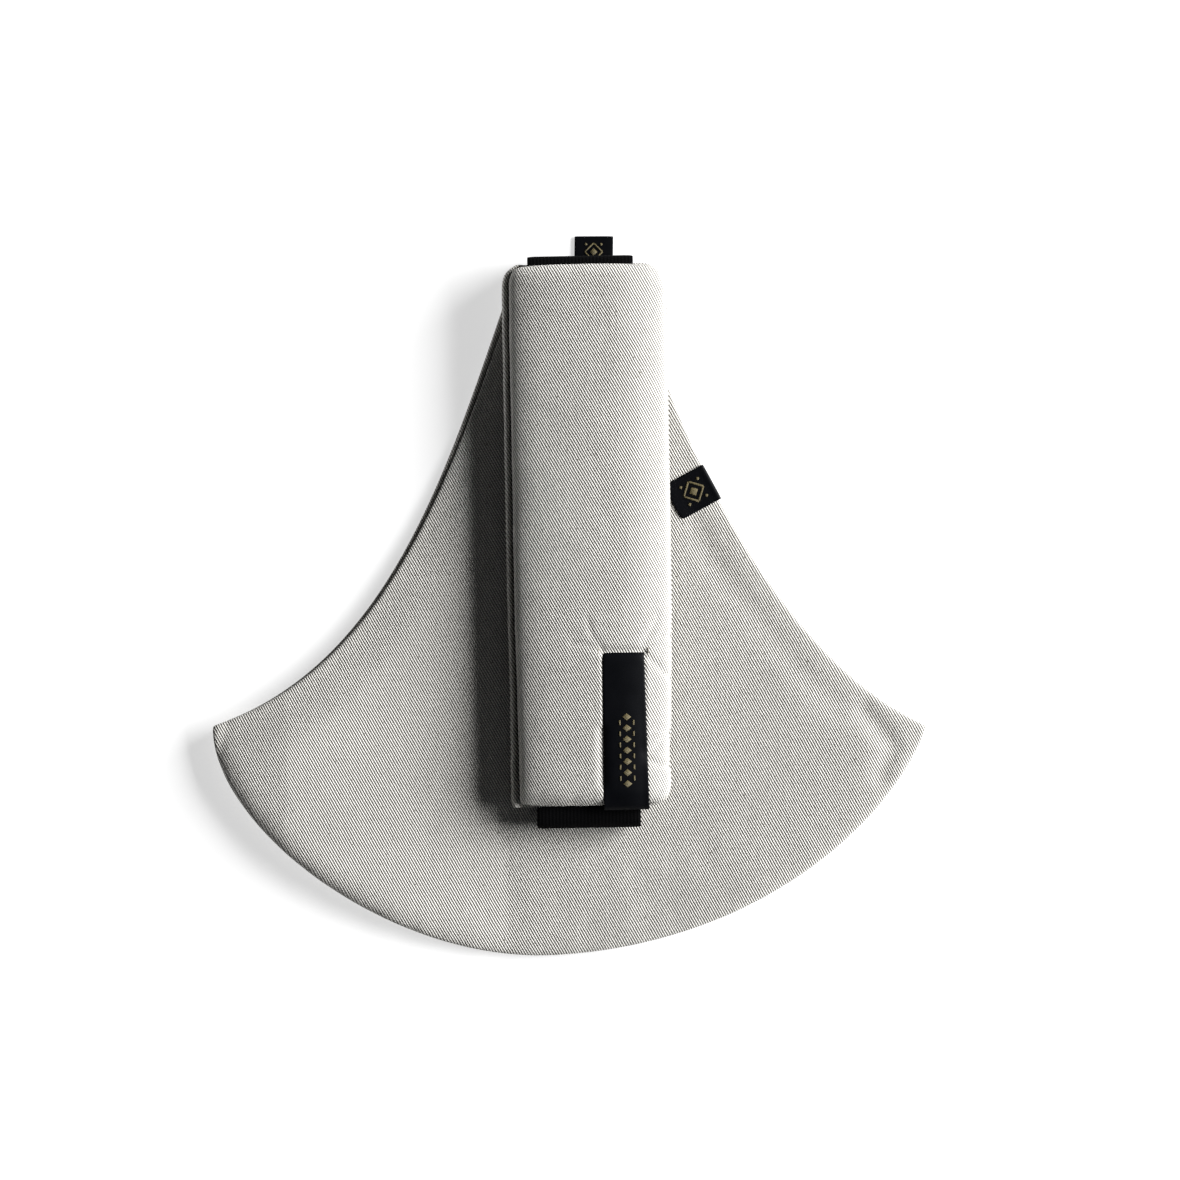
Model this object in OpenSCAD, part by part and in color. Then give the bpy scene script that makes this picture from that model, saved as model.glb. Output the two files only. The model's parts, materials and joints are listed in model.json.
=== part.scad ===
// Shoulder sling for carrying a toddler, folded flat with its padded strap laid over the seat.
// X runs across the sling, Y from the curved bottom of the seat towards its neck, Z up.
// The origin is on the surface that the sling lies on, under the middle of its outline.

/* [Seat] */
// Half the distance between the two corners of the seat
seat_half_w = 214; // [204:1:224]
// Position of the corners along Y
corner_y = -78; // [-82:1:-74]
// Position of the curved bottom along Y
bottom_y = -216; // [-225:0.5:-205]
// Position of the neck's end along Y
neck_y = 196; // [192:1:198]
// Width of the neck
neck_w = 71; // [68:1:78]
// Thickness of the outer canvas
canvas_t = 1.2; // [0.8:0.1:1.2]
// Thickness of the lining
lining_t = 1; // [0.6:0.1:1]
// Where the shorter neck of the front panel ends, along Y
front_neck_y = 158; // [154:1:158]
// How far the front panel's left rim lies inside the back panel's
front_inset = 4; // [2:0.5:6]

/* [Webbing] */
// Width of the strap webbing
web_w = 62; // [50:1:63]
// Thickness of the strap webbing
web_t = 1.2; // [0.8:0.1:1.2]
// Tilt of the folded strap, seen from above
strap_tilt = 1; // [0:0.1:1.5]
// Middle of the strap across the sling, at the top fold
strap_x = 5.3; // [2:0.1:8]

/* [Pad] */
// Width of the shoulder pad, with its seam edge
pad_w = 100; // [90:1:104]
// Length of the shoulder pad
pad_l = 324; // [310:1:324]
// Height of the pad above its back cover
pad_h = 18.6; // [16:0.1:22]
// Thickness of the pad's cover cloth
cover_t = 1.2; // [0.8:0.1:1.4]
// Width of the seam edge that stands out on the left of the pad
seam_edge_w = 4; // [3:0.5:5]

/* [Bands and labels] */
// Width of the band across the pad's lower end
band_w = 26.4; // [20:0.1:27]
// Length of the band on the face of the pad
band_l = 93; // [70:1:100]
// Width of the label at the top of the neck
neck_label_w = 23.4; // [18:0.1:26]
// Size of the label on the right rail: across the rail, along the rail
side_label = [27, 23.5];

/* [Hardware] */
// Radius of the ring's wire
wire_r = 1.5; // [1.2:0.1:1.5]
// Distance between the ring's two long bars
ring_l = 22; // [20:1:24]
// Length of the slide adjuster along the strap
adjuster_l = 36; // [32:1:38]
// Radius of the adjuster's middle bar
bar_r = 1.25; // [1:0.05:1.25]

/* [Hidden] */

// Space between pieces that move past each other, and the play of a piece in its slot
body_gap = 0.3;
slot_play = 0.1;
// The two stretches of strap that meet at the top fold stop this far from its axis, so they can turn
fold_clear = web_t / 2 + body_gap;
// A cut runs past the solid's face by this much
past = 1;

// Seat outline: each rim is a cubic curve, given by how far it runs straight on at each end, and
// at what lean. The neck's middle and the lowest point of the bottom lie a little off centre.
neck_x = 2.5;
left_neck = [122, 251];
left_corner = [113, 19];
right_neck = [112, 282];
right_corner = [89, 157];
bottom_point = [-10, bottom_y];
left_drop = [58, 268];
right_drop = [56, 251];
bottom_left = [99, 183];
bottom_right = [128, 3];
curve_steps = 18;

// Seam allowance inside the curved bottom: distance of its edges from the outline
binding_near = 2;
binding_far = 10;
lining_inset = 1.5;

// Levels of the layers above the surface
back_top = canvas_t + lining_t;
binding_t = 0.6;
front_z = back_top + binding_t;
front_top = front_z + lining_t + canvas_t;
// The fold line of the front panel runs from corner to corner
fold_y = corner_y - 1;

// Strap: the top fold, the bottom fold and the neck ring turn about lines along X
top_fold_y = 201.8;
top_fold_z = 12.5;
bottom_fold_y = -131;
pad_top_y = 198;
pad_z = 14.2;
pad_base = pad_z + cover_t;
core_z = 21.6;
run_z = 7.3;
bottom_fold_z = (core_z + run_z + web_t) / 2;
bottom_fold_r = (core_z - run_z + web_t) / 2;
// The run starts clear of the bottom fold and ends clear of the ring's loop
fold_gap = 1.5;
run_end_y = 112;

// Neck ring
ring_y = 162;
ring_z = 9.4;
ring_half_w = web_w / 2 + 3.5;
ring_corner_r = 4;
anchor_r = ring_z - front_top;
anchor_l = 44;
loop_r = wire_r + 0.2;
loop_leg = 12;

// Slide adjuster
adjuster_y = 80;
rail_t = 4;
rail_z = front_top + body_gap;
rail_top = 12.9;
rail_shoulder = 8.7;
rail_crown = 8;
end_bar_w = 4;
end_bar_t = run_z - body_gap - rail_z;
bar_z = 11.3;
wrap_r = bar_r + slot_play;
end_leg = 32;
end_fold = 22;

// Pad: the face is a rounded crown, and its middle lies a little right of the strap's middle
pad_shift = 2.5;
pad_power = 3.4;
profile_step = 6;
pad_mid = pad_shift + seam_edge_w / 2;
pad_half = (pad_w - seam_edge_w) / 2;
band_x = 22;
band_t = 0.9;
slit_l = 27.4;
slit_w = 1.4;

// Labels and bartacks
label_t = 1.6;
neck_label_x = 13.8;
neck_label_l = 20;
side_label_pos = [73, 62];
side_label_turn = 28.5;
side_label_t = 0.6;
tack_l = 12;
tack_w = 2;
tack_t = 0.5;

$fn = 64;

// ---- curves ----
function polar(p, reach) = p + reach[0] * [cos(reach[1]), sin(reach[1])];
function bezier(a, b, c, d, t) =
    pow(1 - t, 3) * a + 3 * pow(1 - t, 2) * t * b + 3 * (1 - t) * pow(t, 2) * c + pow(t, 3) * d;
function curve(a, b, c, d) = [for (i = [0:curve_steps - 1]) bezier(a, b, c, d, i / curve_steps)];

corner_l = [-seat_half_w, corner_y];
corner_r = [seat_half_w, corner_y];

function left_rim(inset) =
    let (top = [neck_x - neck_w / 2 + inset, neck_y], shift = [inset / 2, -inset / 2])
    curve(top, polar(top, left_neck), polar(corner_l, left_corner) + shift, corner_l);
function right_rim(inset) =
    let (top = [neck_x + neck_w / 2 - inset, neck_y], shift = [-inset / 2, -inset / 2])
    curve(corner_r, polar(corner_r, right_corner) + shift, polar(top, right_neck), top);
bottom_edge = concat(
    curve(corner_l, polar(corner_l, left_drop), polar(bottom_point, bottom_left), bottom_point),
    curve(bottom_point, polar(bottom_point, bottom_right), polar(corner_r, right_drop), corner_r)
);
function outline(left_inset, right_inset) = concat(
    left_rim(left_inset),
    bottom_edge,
    right_rim(right_inset),
    [[neck_x + neck_w / 2 - right_inset, neck_y]]
);
back_outline = outline(0, front_inset - 1);
front_outline = outline(front_inset, 0);

// Each point of an open curve moved to its left by a distance
function normal(p, q) = let (d = q - p) [-d[1], d[0]] / norm(d);
function beside(c, d) = [
    for (i = [0:len(c) - 1]) c[i] + d * normal(c[max(i - 1, 0)], c[min(i + 1, len(c) - 1)])
];
function reverse(c) = [for (i = [len(c) - 1:-1:0]) c[i]];
// The same for a closed outline
function ring_inset(c, d) =
    let (n = len(c)) [for (i = [0:n - 1]) c[i] + d * normal(c[(i + n - 1) % n], c[(i + 1) % n])];

// ---- shared shapes ----
module sheet(points, z, t) {
    translate([0, 0, z])
        linear_extrude(t)
            polygon(points);
}

// Part of a front layer above or below the fold line
module front_layer(inset, z, t, upper) {
    low = upper ? fold_y + body_gap : bottom_y - 10;
    high = upper ? front_neck_y - inset : fold_y;
    intersection() {
        sheet(ring_inset(front_outline, inset), z, t);
        translate([-seat_half_w - 10, low, 0])
            cube([2 * seat_half_w + 20, high - low, 20]);
    }
}

// The strap lies in a frame of its own, with its origin under the top fold
module strap_frame() {
    translate([strap_x, top_fold_y, 0])
        rotate([0, 0, strap_tilt])
            children();
}

// A box given by its middle across the strap, its ends along it and its levels
module slab(x, w, y0, y1, z0, z1) {
    translate([x - w / 2, y0, z0])
        cube([w, y1 - y0, z1 - z0]);
}

// A bar along X through the point y, z
module cross_bar(y, z, r, w) {
    translate([0, y, z])
        rotate([0, 90, 0])
            cylinder(r = r, h = w, center = true);
}

// A tube along X round the point y, z
module cross_tube(y, z, r, t, w) {
    difference() {
        cross_bar(y, z, r + t, w);
        cross_bar(y, z, r, w + 2 * past);
    }
}

// Rows of bartacks across webbing
module bartacks(x, y, z, columns, rows, pitch_x, pitch_y) {
    for (i = [0:columns - 1], j = [0:rows - 1])
        slab(
            x + (i - (columns - 1) / 2) * pitch_x, tack_l,
            y + j * pitch_y, y + j * pitch_y + tack_w, z, z + tack_t
        );
}

// Position along the strap's own frame of a place given along Y
function along(y) = y - top_fold_y;

// Cross-section of the pad's face, grown by a distance
function pad_profile(grow) = [
    for (a = [0:profile_step:180])
        [
            pad_mid + (pad_half + grow) * sign(cos(a)) * pow(abs(cos(a)), 2 / pad_power),
            pad_base + (pad_h + grow) * pow(abs(sin(a)), 2 / pad_power)
        ]
];

// The pad's form between two places along Y, grown by a distance
module pad_form(grow, y0, y1, below = 0) {
    translate([0, y1, 0])
        rotate([90, 0, 0])
            linear_extrude(y1 - y0)
                union() {
                    polygon(pad_profile(grow));
                    if (below > 0)
                        translate([pad_mid - pad_half - grow, pad_base - below])
                            square([2 * (pad_half + grow), below]);
                }
}

pad_y1 = along(pad_top_y);
pad_y0 = pad_y1 - pad_l;

// The space inside the pad between two levels, filled by foam
module pad_fill(z0, z1) {
    intersection() {
        pad_form(-cover_t - slot_play, pad_y0 + cover_t + slot_play, pad_y1 - cover_t - slot_play);
        slab(pad_shift, pad_w, pad_y0, pad_y1, z0, z1);
    }
}

// ---- seat ----
module back_panel_outer() {
    color("ivory") sheet(back_outline, 0, canvas_t);
}

module back_panel_lining() {
    color("linen") sheet(ring_inset(back_outline, lining_inset), canvas_t, lining_t);
}

module front_lower_outer() {
    color("ivory") front_layer(0, front_z + lining_t, canvas_t, false);
}

module front_lower_lining() {
    color("linen") front_layer(lining_inset, front_z, lining_t, false);
}

module bottom_seam_binding() {
    inner = [for (p = beside(bottom_edge, binding_far)) if (p[1] < fold_y - binding_near) p];
    outer = [for (p = beside(bottom_edge, binding_near)) if (p[1] < fold_y - binding_near) p];
    color("wheat") sheet(concat(outer, reverse(inner)), back_top, binding_t);
}

// Webbing sewn inside the back neck: it lies flat, then rises to the top fold
module neck_webbing() {
    rise_y = along(top_fold_y) - web_t / 2;
    color("black") strap_frame() {
        slab(0, web_w, along(ring_y), rise_y, back_top, back_top + web_t);
        slab(0, web_w, rise_y, rise_y + web_t, back_top, top_fold_z - fold_clear);
    }
}

module neck_bartacks() {
    color("dimgray") strap_frame()
        bartacks(0, along(ring_y + 8), back_top + web_t, 3, 2, 20, 18);
}

module neck_label() {
    color("black")
        translate([neck_label_x - neck_label_w / 2, neck_y, body_gap])
            cube([neck_label_w, neck_label_l, label_t]);
}

// ---- front of the seat above its fold line ----
module front_upper_outer() {
    color("ivory") front_layer(0, front_z + lining_t, canvas_t, true);
}

module front_upper_lining() {
    color("linen") front_layer(lining_inset, front_z, lining_t, true);
}

// Webbing sewn on the front neck, with a loop round the ring's outer bar
module ring_webbing() {
    color("black") strap_frame() {
        cross_tube(along(ring_y), ring_z, anchor_r - web_t, web_t, web_w);
        difference() {
            slab(0, web_w, along(ring_y - anchor_l), along(ring_y), front_top, front_top + web_t);
            cross_bar(along(ring_y), ring_z, anchor_r - web_t, web_w + 2 * past);
        }
    }
}

// The ring's inner end and its strap loop rest just above the webbing, so these tacks lie beyond them
module ring_bartacks() {
    color("dimgray") strap_frame()
        bartacks(0, along(ring_y - anchor_l + 2), front_top + web_t, 3, 1, 20, 0);
}

module side_label_tab() {
    color("black")
        translate([side_label_pos[0], side_label_pos[1], front_top + side_label_t / 2])
            rotate([0, 0, side_label_turn])
                cube([side_label[0], side_label[1], side_label_t], center = true);
}

// ---- ring ----
// Quarter bend of the ring's wire, one corner
module ring_bend() {
    rotate_extrude(angle = 90)
        translate([ring_corner_r, 0])
            circle(wire_r);
}

module neck_ring() {
    straight_w = 2 * (ring_half_w - ring_corner_r);
    straight_l = ring_l - 2 * ring_corner_r;
    color("dimgray") strap_frame()
        translate([0, along(ring_y) - ring_l / 2, ring_z])
            for (side = [-1, 1]) {
                cross_bar(side * ring_l / 2, 0, wire_r, straight_w);
                translate([side * ring_half_w, 0, 0])
                    rotate([90, 0, 0])
                        cylinder(r = wire_r, h = straight_l, center = true);
                translate([side * straight_w / 2, straight_l / 2, 0])
                    rotate([0, 0, side > 0 ? 0 : 90])
                        ring_bend();
                translate([side * straight_w / 2, -straight_l / 2, 0])
                    rotate([0, 0, side > 0 ? 270 : 180])
                        ring_bend();
            }
}

// The strap turns round the ring's inner bar and both legs run back along the strap
module strap_ring_loop() {
    bar_y = along(ring_y) - ring_l;
    color("black") strap_frame() {
        difference() {
            cross_tube(bar_y, ring_z, loop_r, web_t, web_w);
            slab(0, web_w + 2 * past, bar_y - loop_leg, bar_y, ring_z - loop_leg, ring_z + loop_leg);
        }
        for (z = [ring_z - loop_r - web_t, ring_z + loop_r])
            slab(0, web_w, bar_y - loop_leg, bar_y, z, z + web_t);
    }
}

// ---- shoulder pad ----
module pad_cover_front() {
    color("ivory") strap_frame()
        difference() {
            pad_form(0, pad_y0, pad_y1);
            pad_form(-cover_t, pad_y0 + cover_t, pad_y1 - cover_t, past);
            slab(
                0, web_w + 2 * slot_play, pad_y0 - past, pad_y1 + past,
                core_z - slot_play, core_z + web_t + slot_play
            );
            slab(
                band_x, slit_l, pad_y0 + band_l, pad_y0 + band_l + slit_w,
                pad_base + pad_h / 2, pad_base + 2 * pad_h
            );
        }
}

module pad_cover_back() {
    color("linen") strap_frame()
        slab(pad_shift, pad_w, pad_y0, pad_y1, pad_z, pad_base);
}

module pad_foam_upper() {
    color("gainsboro") pad_foam(core_z + web_t + slot_play, pad_base + pad_h);
}

module pad_foam_lower() {
    color("gainsboro") pad_foam(pad_base, core_z - slot_play);
}

module pad_foam(z0, z1) {
    strap_frame() pad_fill(z0, z1);
}

// Webbing through the pad: it drops to the top fold at one end and turns under at the other
module core_webbing() {
    drop_y = along(top_fold_y) - web_t / 2;
    turn_y = along(bottom_fold_y);
    color("black") strap_frame() {
        slab(0, web_w, turn_y, drop_y + web_t, core_z, core_z + web_t);
        slab(0, web_w, drop_y, drop_y + web_t, top_fold_z + fold_clear, core_z);
        difference() {
            cross_tube(turn_y, bottom_fold_z, bottom_fold_r - web_t, web_t, web_w);
            slab(0, web_w + 2 * past, turn_y, turn_y + 20, 0, core_z + 20);
        }
    }
}

// Band over the pad's face and down its lower end, where it meets the webbing
module keeper_band() {
    color("black") strap_frame()
        difference() {
            intersection() {
                pad_form(slot_play + band_t, pad_y0 - slot_play - band_t, pad_y0 + band_l);
                slab(
                    band_x, band_w, pad_y0 - past - band_t, pad_y0 + band_l,
                    core_z + web_t + slot_play, pad_base + 2 * pad_h
                );
            }
            pad_form(slot_play, pad_y0 - slot_play, pad_y0 + band_l + past);
        }
}

// Short rows of thread that close the slit's two ends
module band_bartacks() {
    top = pad_base + pad_h;
    color("gold") strap_frame()
        for (side = [-1, 1])
            intersection() {
                pad_form(tack_t + slot_play, pad_y0 + band_l - tack_w, pad_y0 + band_l + 2 * tack_w);
                difference() {
                    slab(
                        band_x + side * (slit_l + 2 * tack_w) / 2, tack_w,
                        pad_y0 + band_l - tack_w, pad_y0 + band_l + 2 * tack_w, pad_base, top + 2 * tack_t
                    );
                    pad_form(slot_play / 2, pad_y0 + band_l - 2 * tack_w, pad_y0 + band_l + 3 * tack_w);
                }
            }
}

// ---- strap below the pad ----
module run_webbing() {
    color("black") strap_frame()
        slab(0, web_w, along(bottom_fold_y) + fold_gap, along(run_end_y), run_z, run_z + web_t);
}

// Bowed side rails joined by an end bar at each end, below the strap
module adjuster_frame() {
    half = adjuster_l / 2;
    inner = web_w / 2 + 2 * body_gap;
    color("dimgray") strap_frame()
        translate([0, along(adjuster_y), 0]) {
            for (side = [-1, 1])
                difference() {
                    translate([side * (inner + rail_t / 2) - rail_t / 2, 0, 0])
                        rotate([90, 0, 90])
                            linear_extrude(rail_t)
                                polygon([
                                    [-half, rail_z], [half, rail_z], [half, rail_shoulder],
                                    [rail_crown, rail_top], [-rail_crown, rail_top], [-half, rail_shoulder]
                                ]);
                    cross_bar(0, bar_z, bar_r + slot_play / 2, 2 * inner + rail_t);
                }
            for (side = [-1, 1])
                translate([0, side * (half - end_bar_w / 2), 0])
                    slab(0, 2 * inner + rail_t, -end_bar_w / 2, end_bar_w / 2, rail_z, rail_z + end_bar_t);
        }
}

module adjuster_bar() {
    color("silver") strap_frame()
        cross_bar(along(adjuster_y), bar_z, bar_r, web_w + 4 * body_gap + rail_t);
}

// The strap's end is wrapped round the adjuster's bar and sewn back on itself
module strap_end() {
    y = along(adjuster_y);
    low = bar_z + wrap_r + web_t;
    color("black") strap_frame() {
        cross_tube(y, bar_z, wrap_r, web_t, web_w);
        difference() {
            union() {
                slab(0, web_w, y, y + end_fold, low - web_t, low);
                slab(0, web_w, y + wrap_r, y + end_leg, low - 2 * web_t, low - web_t);
            }
            cross_bar(y, bar_z, wrap_r, web_w + 2 * past);
        }
    }
}

module strap_end_bartacks() {
    y = along(adjuster_y);
    color("dimgray") strap_frame()
        bartacks(0, y + end_fold + 2 * tack_w, bar_z + wrap_r, 3, 1, 20, 0);
}

back_panel_outer();
back_panel_lining();
front_lower_outer();
front_lower_lining();
bottom_seam_binding();
neck_webbing();
neck_bartacks();
neck_label();
front_upper_outer();
front_upper_lining();
ring_webbing();
ring_bartacks();
side_label_tab();
neck_ring();
strap_ring_loop();
pad_cover_front();
pad_cover_back();
pad_foam_upper();
pad_foam_lower();
core_webbing();
keeper_band();
band_bartacks();
run_webbing();
adjuster_frame();
adjuster_bar();
strap_end();
strap_end_bartacks();
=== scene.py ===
import json
import math

import bpy
import numpy as np
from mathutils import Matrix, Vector, noise
from mathutils.bvhtree import BVHTree


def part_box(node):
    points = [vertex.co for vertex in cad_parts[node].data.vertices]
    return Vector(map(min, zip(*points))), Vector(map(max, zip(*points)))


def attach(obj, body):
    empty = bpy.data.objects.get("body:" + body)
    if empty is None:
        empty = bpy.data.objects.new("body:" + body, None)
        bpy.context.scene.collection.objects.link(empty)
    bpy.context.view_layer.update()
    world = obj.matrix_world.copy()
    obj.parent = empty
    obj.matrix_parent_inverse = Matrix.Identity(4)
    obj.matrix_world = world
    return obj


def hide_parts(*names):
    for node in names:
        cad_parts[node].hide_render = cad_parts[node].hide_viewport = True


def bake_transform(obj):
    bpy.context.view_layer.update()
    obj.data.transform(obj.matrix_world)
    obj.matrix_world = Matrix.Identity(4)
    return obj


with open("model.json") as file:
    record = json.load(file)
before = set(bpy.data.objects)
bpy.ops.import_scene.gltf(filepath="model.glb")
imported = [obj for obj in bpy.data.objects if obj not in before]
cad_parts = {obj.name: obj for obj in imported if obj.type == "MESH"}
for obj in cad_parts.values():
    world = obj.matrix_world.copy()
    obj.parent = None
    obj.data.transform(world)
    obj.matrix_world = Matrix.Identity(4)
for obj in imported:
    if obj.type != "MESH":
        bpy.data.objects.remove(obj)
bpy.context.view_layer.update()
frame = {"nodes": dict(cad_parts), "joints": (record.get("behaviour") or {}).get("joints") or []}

# ---------------------------------------------------------------- driving values, in metres

MM = 0.001

# Camera straight above the sling: it sees this much of the surface, at the photo's framing
VIEW_WIDTH = 0.708
VIEW_CENTRE = (0.0117, 0.0033)
LENS = 100.0
SENSOR = 36.0

# Seat outline: each rim and each half of the bottom is a cubic curve between frame points.
# A reach is how far the curve runs straight on at an end, and at what lean in degrees.
NECK_X = 0.0025
NECK_HALF = 0.0355
BOTTOM_X, BOTTOM_Y = -0.010, -0.216
CORNER_Y = -0.078
MIDDLE_Y = -0.06
SEAM_LENGTH = 0.56
FRONT_INSET = 0.004
BACK_INSET = 0.003
LEFT_NECK = (0.122, 251)
LEFT_CORNER = (0.113, 19)
RIGHT_NECK = (0.112, 282)
RIGHT_CORNER = (0.089, 157)
LEFT_DROP = (0.058, 268)
RIGHT_DROP = (0.056, 251)
BOTTOM_LEFT = (0.099, 183)
BOTTOM_RIGHT = (0.128, 3)

# Strap and pad: places across the strap are measured from its middle
WEB_W = 0.062
WEB_T = 0.0012
SEAM_EDGE = 0.004
PAD_POWER = 2.5
BAND_X = 0.022
BAND_T = 0.9 * MM

# Twill: its ribs lean down to the right
RIB_LEAN = math.radians(60)
RIB_PITCH = 1.45 * MM
BEAD_PITCH = 1.2 * MM

# ---------------------------------------------------------------- places taken from the frame

back_low, back_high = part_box("back_panel_outer")
back_lining_low, back_lining_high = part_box("back_panel_lining")
front_low, front_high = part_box("front_upper_outer")
front_lining_low, front_lining_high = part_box("front_upper_lining")
neck_label_low, neck_label_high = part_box("neck_label")
side_label_low, side_label_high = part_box("side_label_tab")
cover_low, cover_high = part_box("pad_cover_front")
pad_back_low, pad_back_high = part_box("pad_cover_back")
bar_low, bar_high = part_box("adjuster_bar")
lower_foam_low, lower_foam_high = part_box("pad_foam_lower")
upper_foam_low, upper_foam_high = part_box("pad_foam_upper")
binding_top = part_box("bottom_seam_binding")[1].z
ring_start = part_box("neck_ring")[0].y
run_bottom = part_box("run_webbing")[0].z
end_tack_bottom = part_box("strap_end_bartacks")[0].z

joints = {j["name"]: j for j in frame["joints"]}


def joint_point(name):
    """A joint's position, in the row frame."""
    return Vector(joints[name]["pos_m"])


fold_top = joint_point("strap_lift")
TILT = math.asin(joints["strap_adjust"]["axis"][0])


def on_strap(x, y, z):
    """A point given across the strap, along it (as the sling's Y before the strap's tilt) and up."""
    along = y - fold_top.y
    return (
        fold_top.x + x * math.cos(TILT) - along * math.sin(TILT),
        fold_top.y + x * math.sin(TILT) + along * math.cos(TILT),
        z,
    )


def across_strap(point):
    """A point's place across and along the strap: on_strap the other way round."""
    dx, dy = point[0] - fold_top.x, point[1] - fold_top.y
    return (
        dx * math.cos(TILT) + dy * math.sin(TILT),
        fold_top.y - dx * math.sin(TILT) + dy * math.cos(TILT),
    )


def strap_place(point):
    """Where along the strap a point is, and how high, as a vector whose Y is the place along."""
    x, along = across_strap(point)
    return Vector((x, along, point[2]))


fold_bottom = strap_place(joint_point("run_fold"))
ring_pivot = strap_place(joint_point("ring_swing"))

# ---------------------------------------------------------------- small maths


def smooth(low, high, value):
    """0 below low, 1 above high, and a smooth step between."""
    t = min(max((value - low) / (high - low), 0.0), 1.0)
    return t * t * (3 - 2 * t)


def hill(value, width):
    """A bell of height 1 round zero."""
    return math.exp(-((value / width) ** 2))


def rise(distance, radius):
    """Quarter circle: 0 at an edge, 1 from radius on."""
    t = min(max(distance / radius, 0.0), 1.0)
    return math.sqrt(1 - (1 - t) ** 2)


def half_round(distance, width):
    """Half circle: 0 at both ends of width, 1 in its middle."""
    return math.sqrt(max(0.0, 1 - (2 * min(distance / width, 1.0) - 1) ** 2))


def wander(x, y, size, seed):
    """Smooth noise from about -1 to 1 whose bumps are as wide as size."""
    return noise.noise(Vector((x / size, y / size, seed)))


# ---------------------------------------------------------------- meshes


def add_object(name, data):
    """A new object in the scene."""
    obj = bpy.data.objects.new(name, data)
    bpy.context.scene.collection.objects.link(obj)
    return obj


def make_object(name, points, faces, uvs):
    """A smooth-shaded mesh object with one UV, in metres, for each vertex."""
    mesh = bpy.data.meshes.new(name)
    mesh.from_pydata([tuple(p) for p in points], [], faces)
    layer = mesh.uv_layers.new(name="weave")
    for loop in mesh.loops:
        layer.data[loop.index].uv = uvs[loop.vertex_index]
    mesh.polygons.foreach_set("use_smooth", [True] * len(mesh.polygons))
    return add_object(name, mesh)


def apply_modifiers(obj):
    """Replaces the object's mesh with what its modifiers make of it."""
    graph = bpy.context.evaluated_depsgraph_get()
    mesh = bpy.data.meshes.new_from_object(obj.evaluated_get(graph))
    obj.modifiers.clear()
    obj.data = mesh
    return obj


def subdivide(obj, levels=1):
    """Catmull-Clark subdivision, applied."""
    modifier = obj.modifiers.new("Subdivision", "SUBSURF")
    modifier.levels = levels
    modifier.render_levels = levels
    return apply_modifiers(obj)


def grid_faces(rows, columns, start, flip):
    """Quads over a grid of vertices that are numbered row by row."""
    faces = []
    for i in range(rows - 1):
        for j in range(columns - 1):
            a = start + i * columns + j
            quad = (a, a + 1, a + columns + 1, a + columns)
            faces.append(quad[::-1] if flip else quad)
    return faces


def closed_sheet(name, top, bottom, uv):
    """A closed solid between two grids of points. Rows run away from +Y and columns along +X, or any
    way that turns the same."""
    rows, columns = top.shape[:2]
    count = rows * columns
    faces = grid_faces(rows, columns, 0, True) + grid_faces(rows, columns, count, False)
    border = list(range(columns))
    border += [i * columns + columns - 1 for i in range(1, rows)]
    border += [(rows - 1) * columns + j for j in range(columns - 2, -1, -1)]
    border += [i * columns for i in range(rows - 2, 0, -1)]
    for a, b in zip(border, border[1:] + border[:1]):
        faces.append((a, b, b + count, a + count))
    points = np.concatenate([top.reshape(-1, 3), bottom.reshape(-1, 3)])
    uvs = list(uv.reshape(-1, 2)) * 2
    return make_object(name, points, faces, uvs)


def solid_from(name, rows, columns, place, levels=1):
    """A closed solid over a grid: place(i, j) gives a point above, one below, and their UV."""
    cells = [[place(i, j) for j in range(columns)] for i in range(rows)]
    top, bottom, uv = (np.array([[cell[k] for cell in row] for row in cells]) for k in range(3))
    return subdivide(closed_sheet(name, top, bottom, uv), levels)


def loft(name, rings, uvs):
    """A closed solid through rings of points, with a fan at each end."""
    count = len(rings[0])
    points = [p for ring in rings for p in ring]
    flat_uvs = [uv for ring in uvs for uv in ring]
    faces = []
    for i in range(len(rings) - 1):
        for j in range(count):
            k = (j + 1) % count
            a, b = i * count, (i + 1) * count
            faces.append((a + j, a + k, b + k, b + j))
    last = len(points) - count
    for ring, uv, first, flip in ((rings[0], uvs[0], 0, True), (rings[-1], uvs[-1], last, False)):
        points.append(tuple(np.mean(np.array(ring), axis=0)))
        flat_uvs.append(tuple(np.mean(np.array(uv), axis=0)))
        for j in range(count):
            pair = (first + j, first + (j + 1) % count)
            faces.append((*(pair[::-1] if flip else pair), len(points) - 1))
    return make_object(name, points, faces, flat_uvs)


def surface_of(obj):
    """A search tree of an object's surface, for laying things on it."""
    mesh = obj.data
    return BVHTree.FromPolygons([v.co for v in mesh.vertices], [p.vertices for p in mesh.polygons])


def height_on(tree, x, y, fallback):
    """Height of a surface below a point well above it."""
    hit = tree.ray_cast(Vector((x, y, 0.2)), Vector((0, 0, -1)))[0]
    return fallback if hit is None else hit.z


# ---------------------------------------------------------------- curves


def polar(point, reach):
    """The point that lies at a reach, a length and a lean, from another."""
    length, lean = reach
    return point + length * np.array([math.cos(math.radians(lean)), math.sin(math.radians(lean))])


def cubic(a, b, c, d, steps=80):
    """Points of a cubic curve from a to d, drawn towards b and c."""
    t = np.linspace(0, 1, steps)[:, None]
    return (1 - t) ** 3 * a + 3 * (1 - t) ** 2 * t * b + 3 * (1 - t) * t**2 * c + t**3 * d


def resample(line, shares):
    """Points of a line at shares of its length."""
    steps = np.linalg.norm(np.diff(line, axis=0), axis=1)
    travelled = np.concatenate([[0], np.cumsum(steps)])
    wanted = np.asarray(shares) * travelled[-1]
    return np.stack([np.interp(wanted, travelled, line[:, k]) for k in range(line.shape[1])], axis=1)


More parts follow.
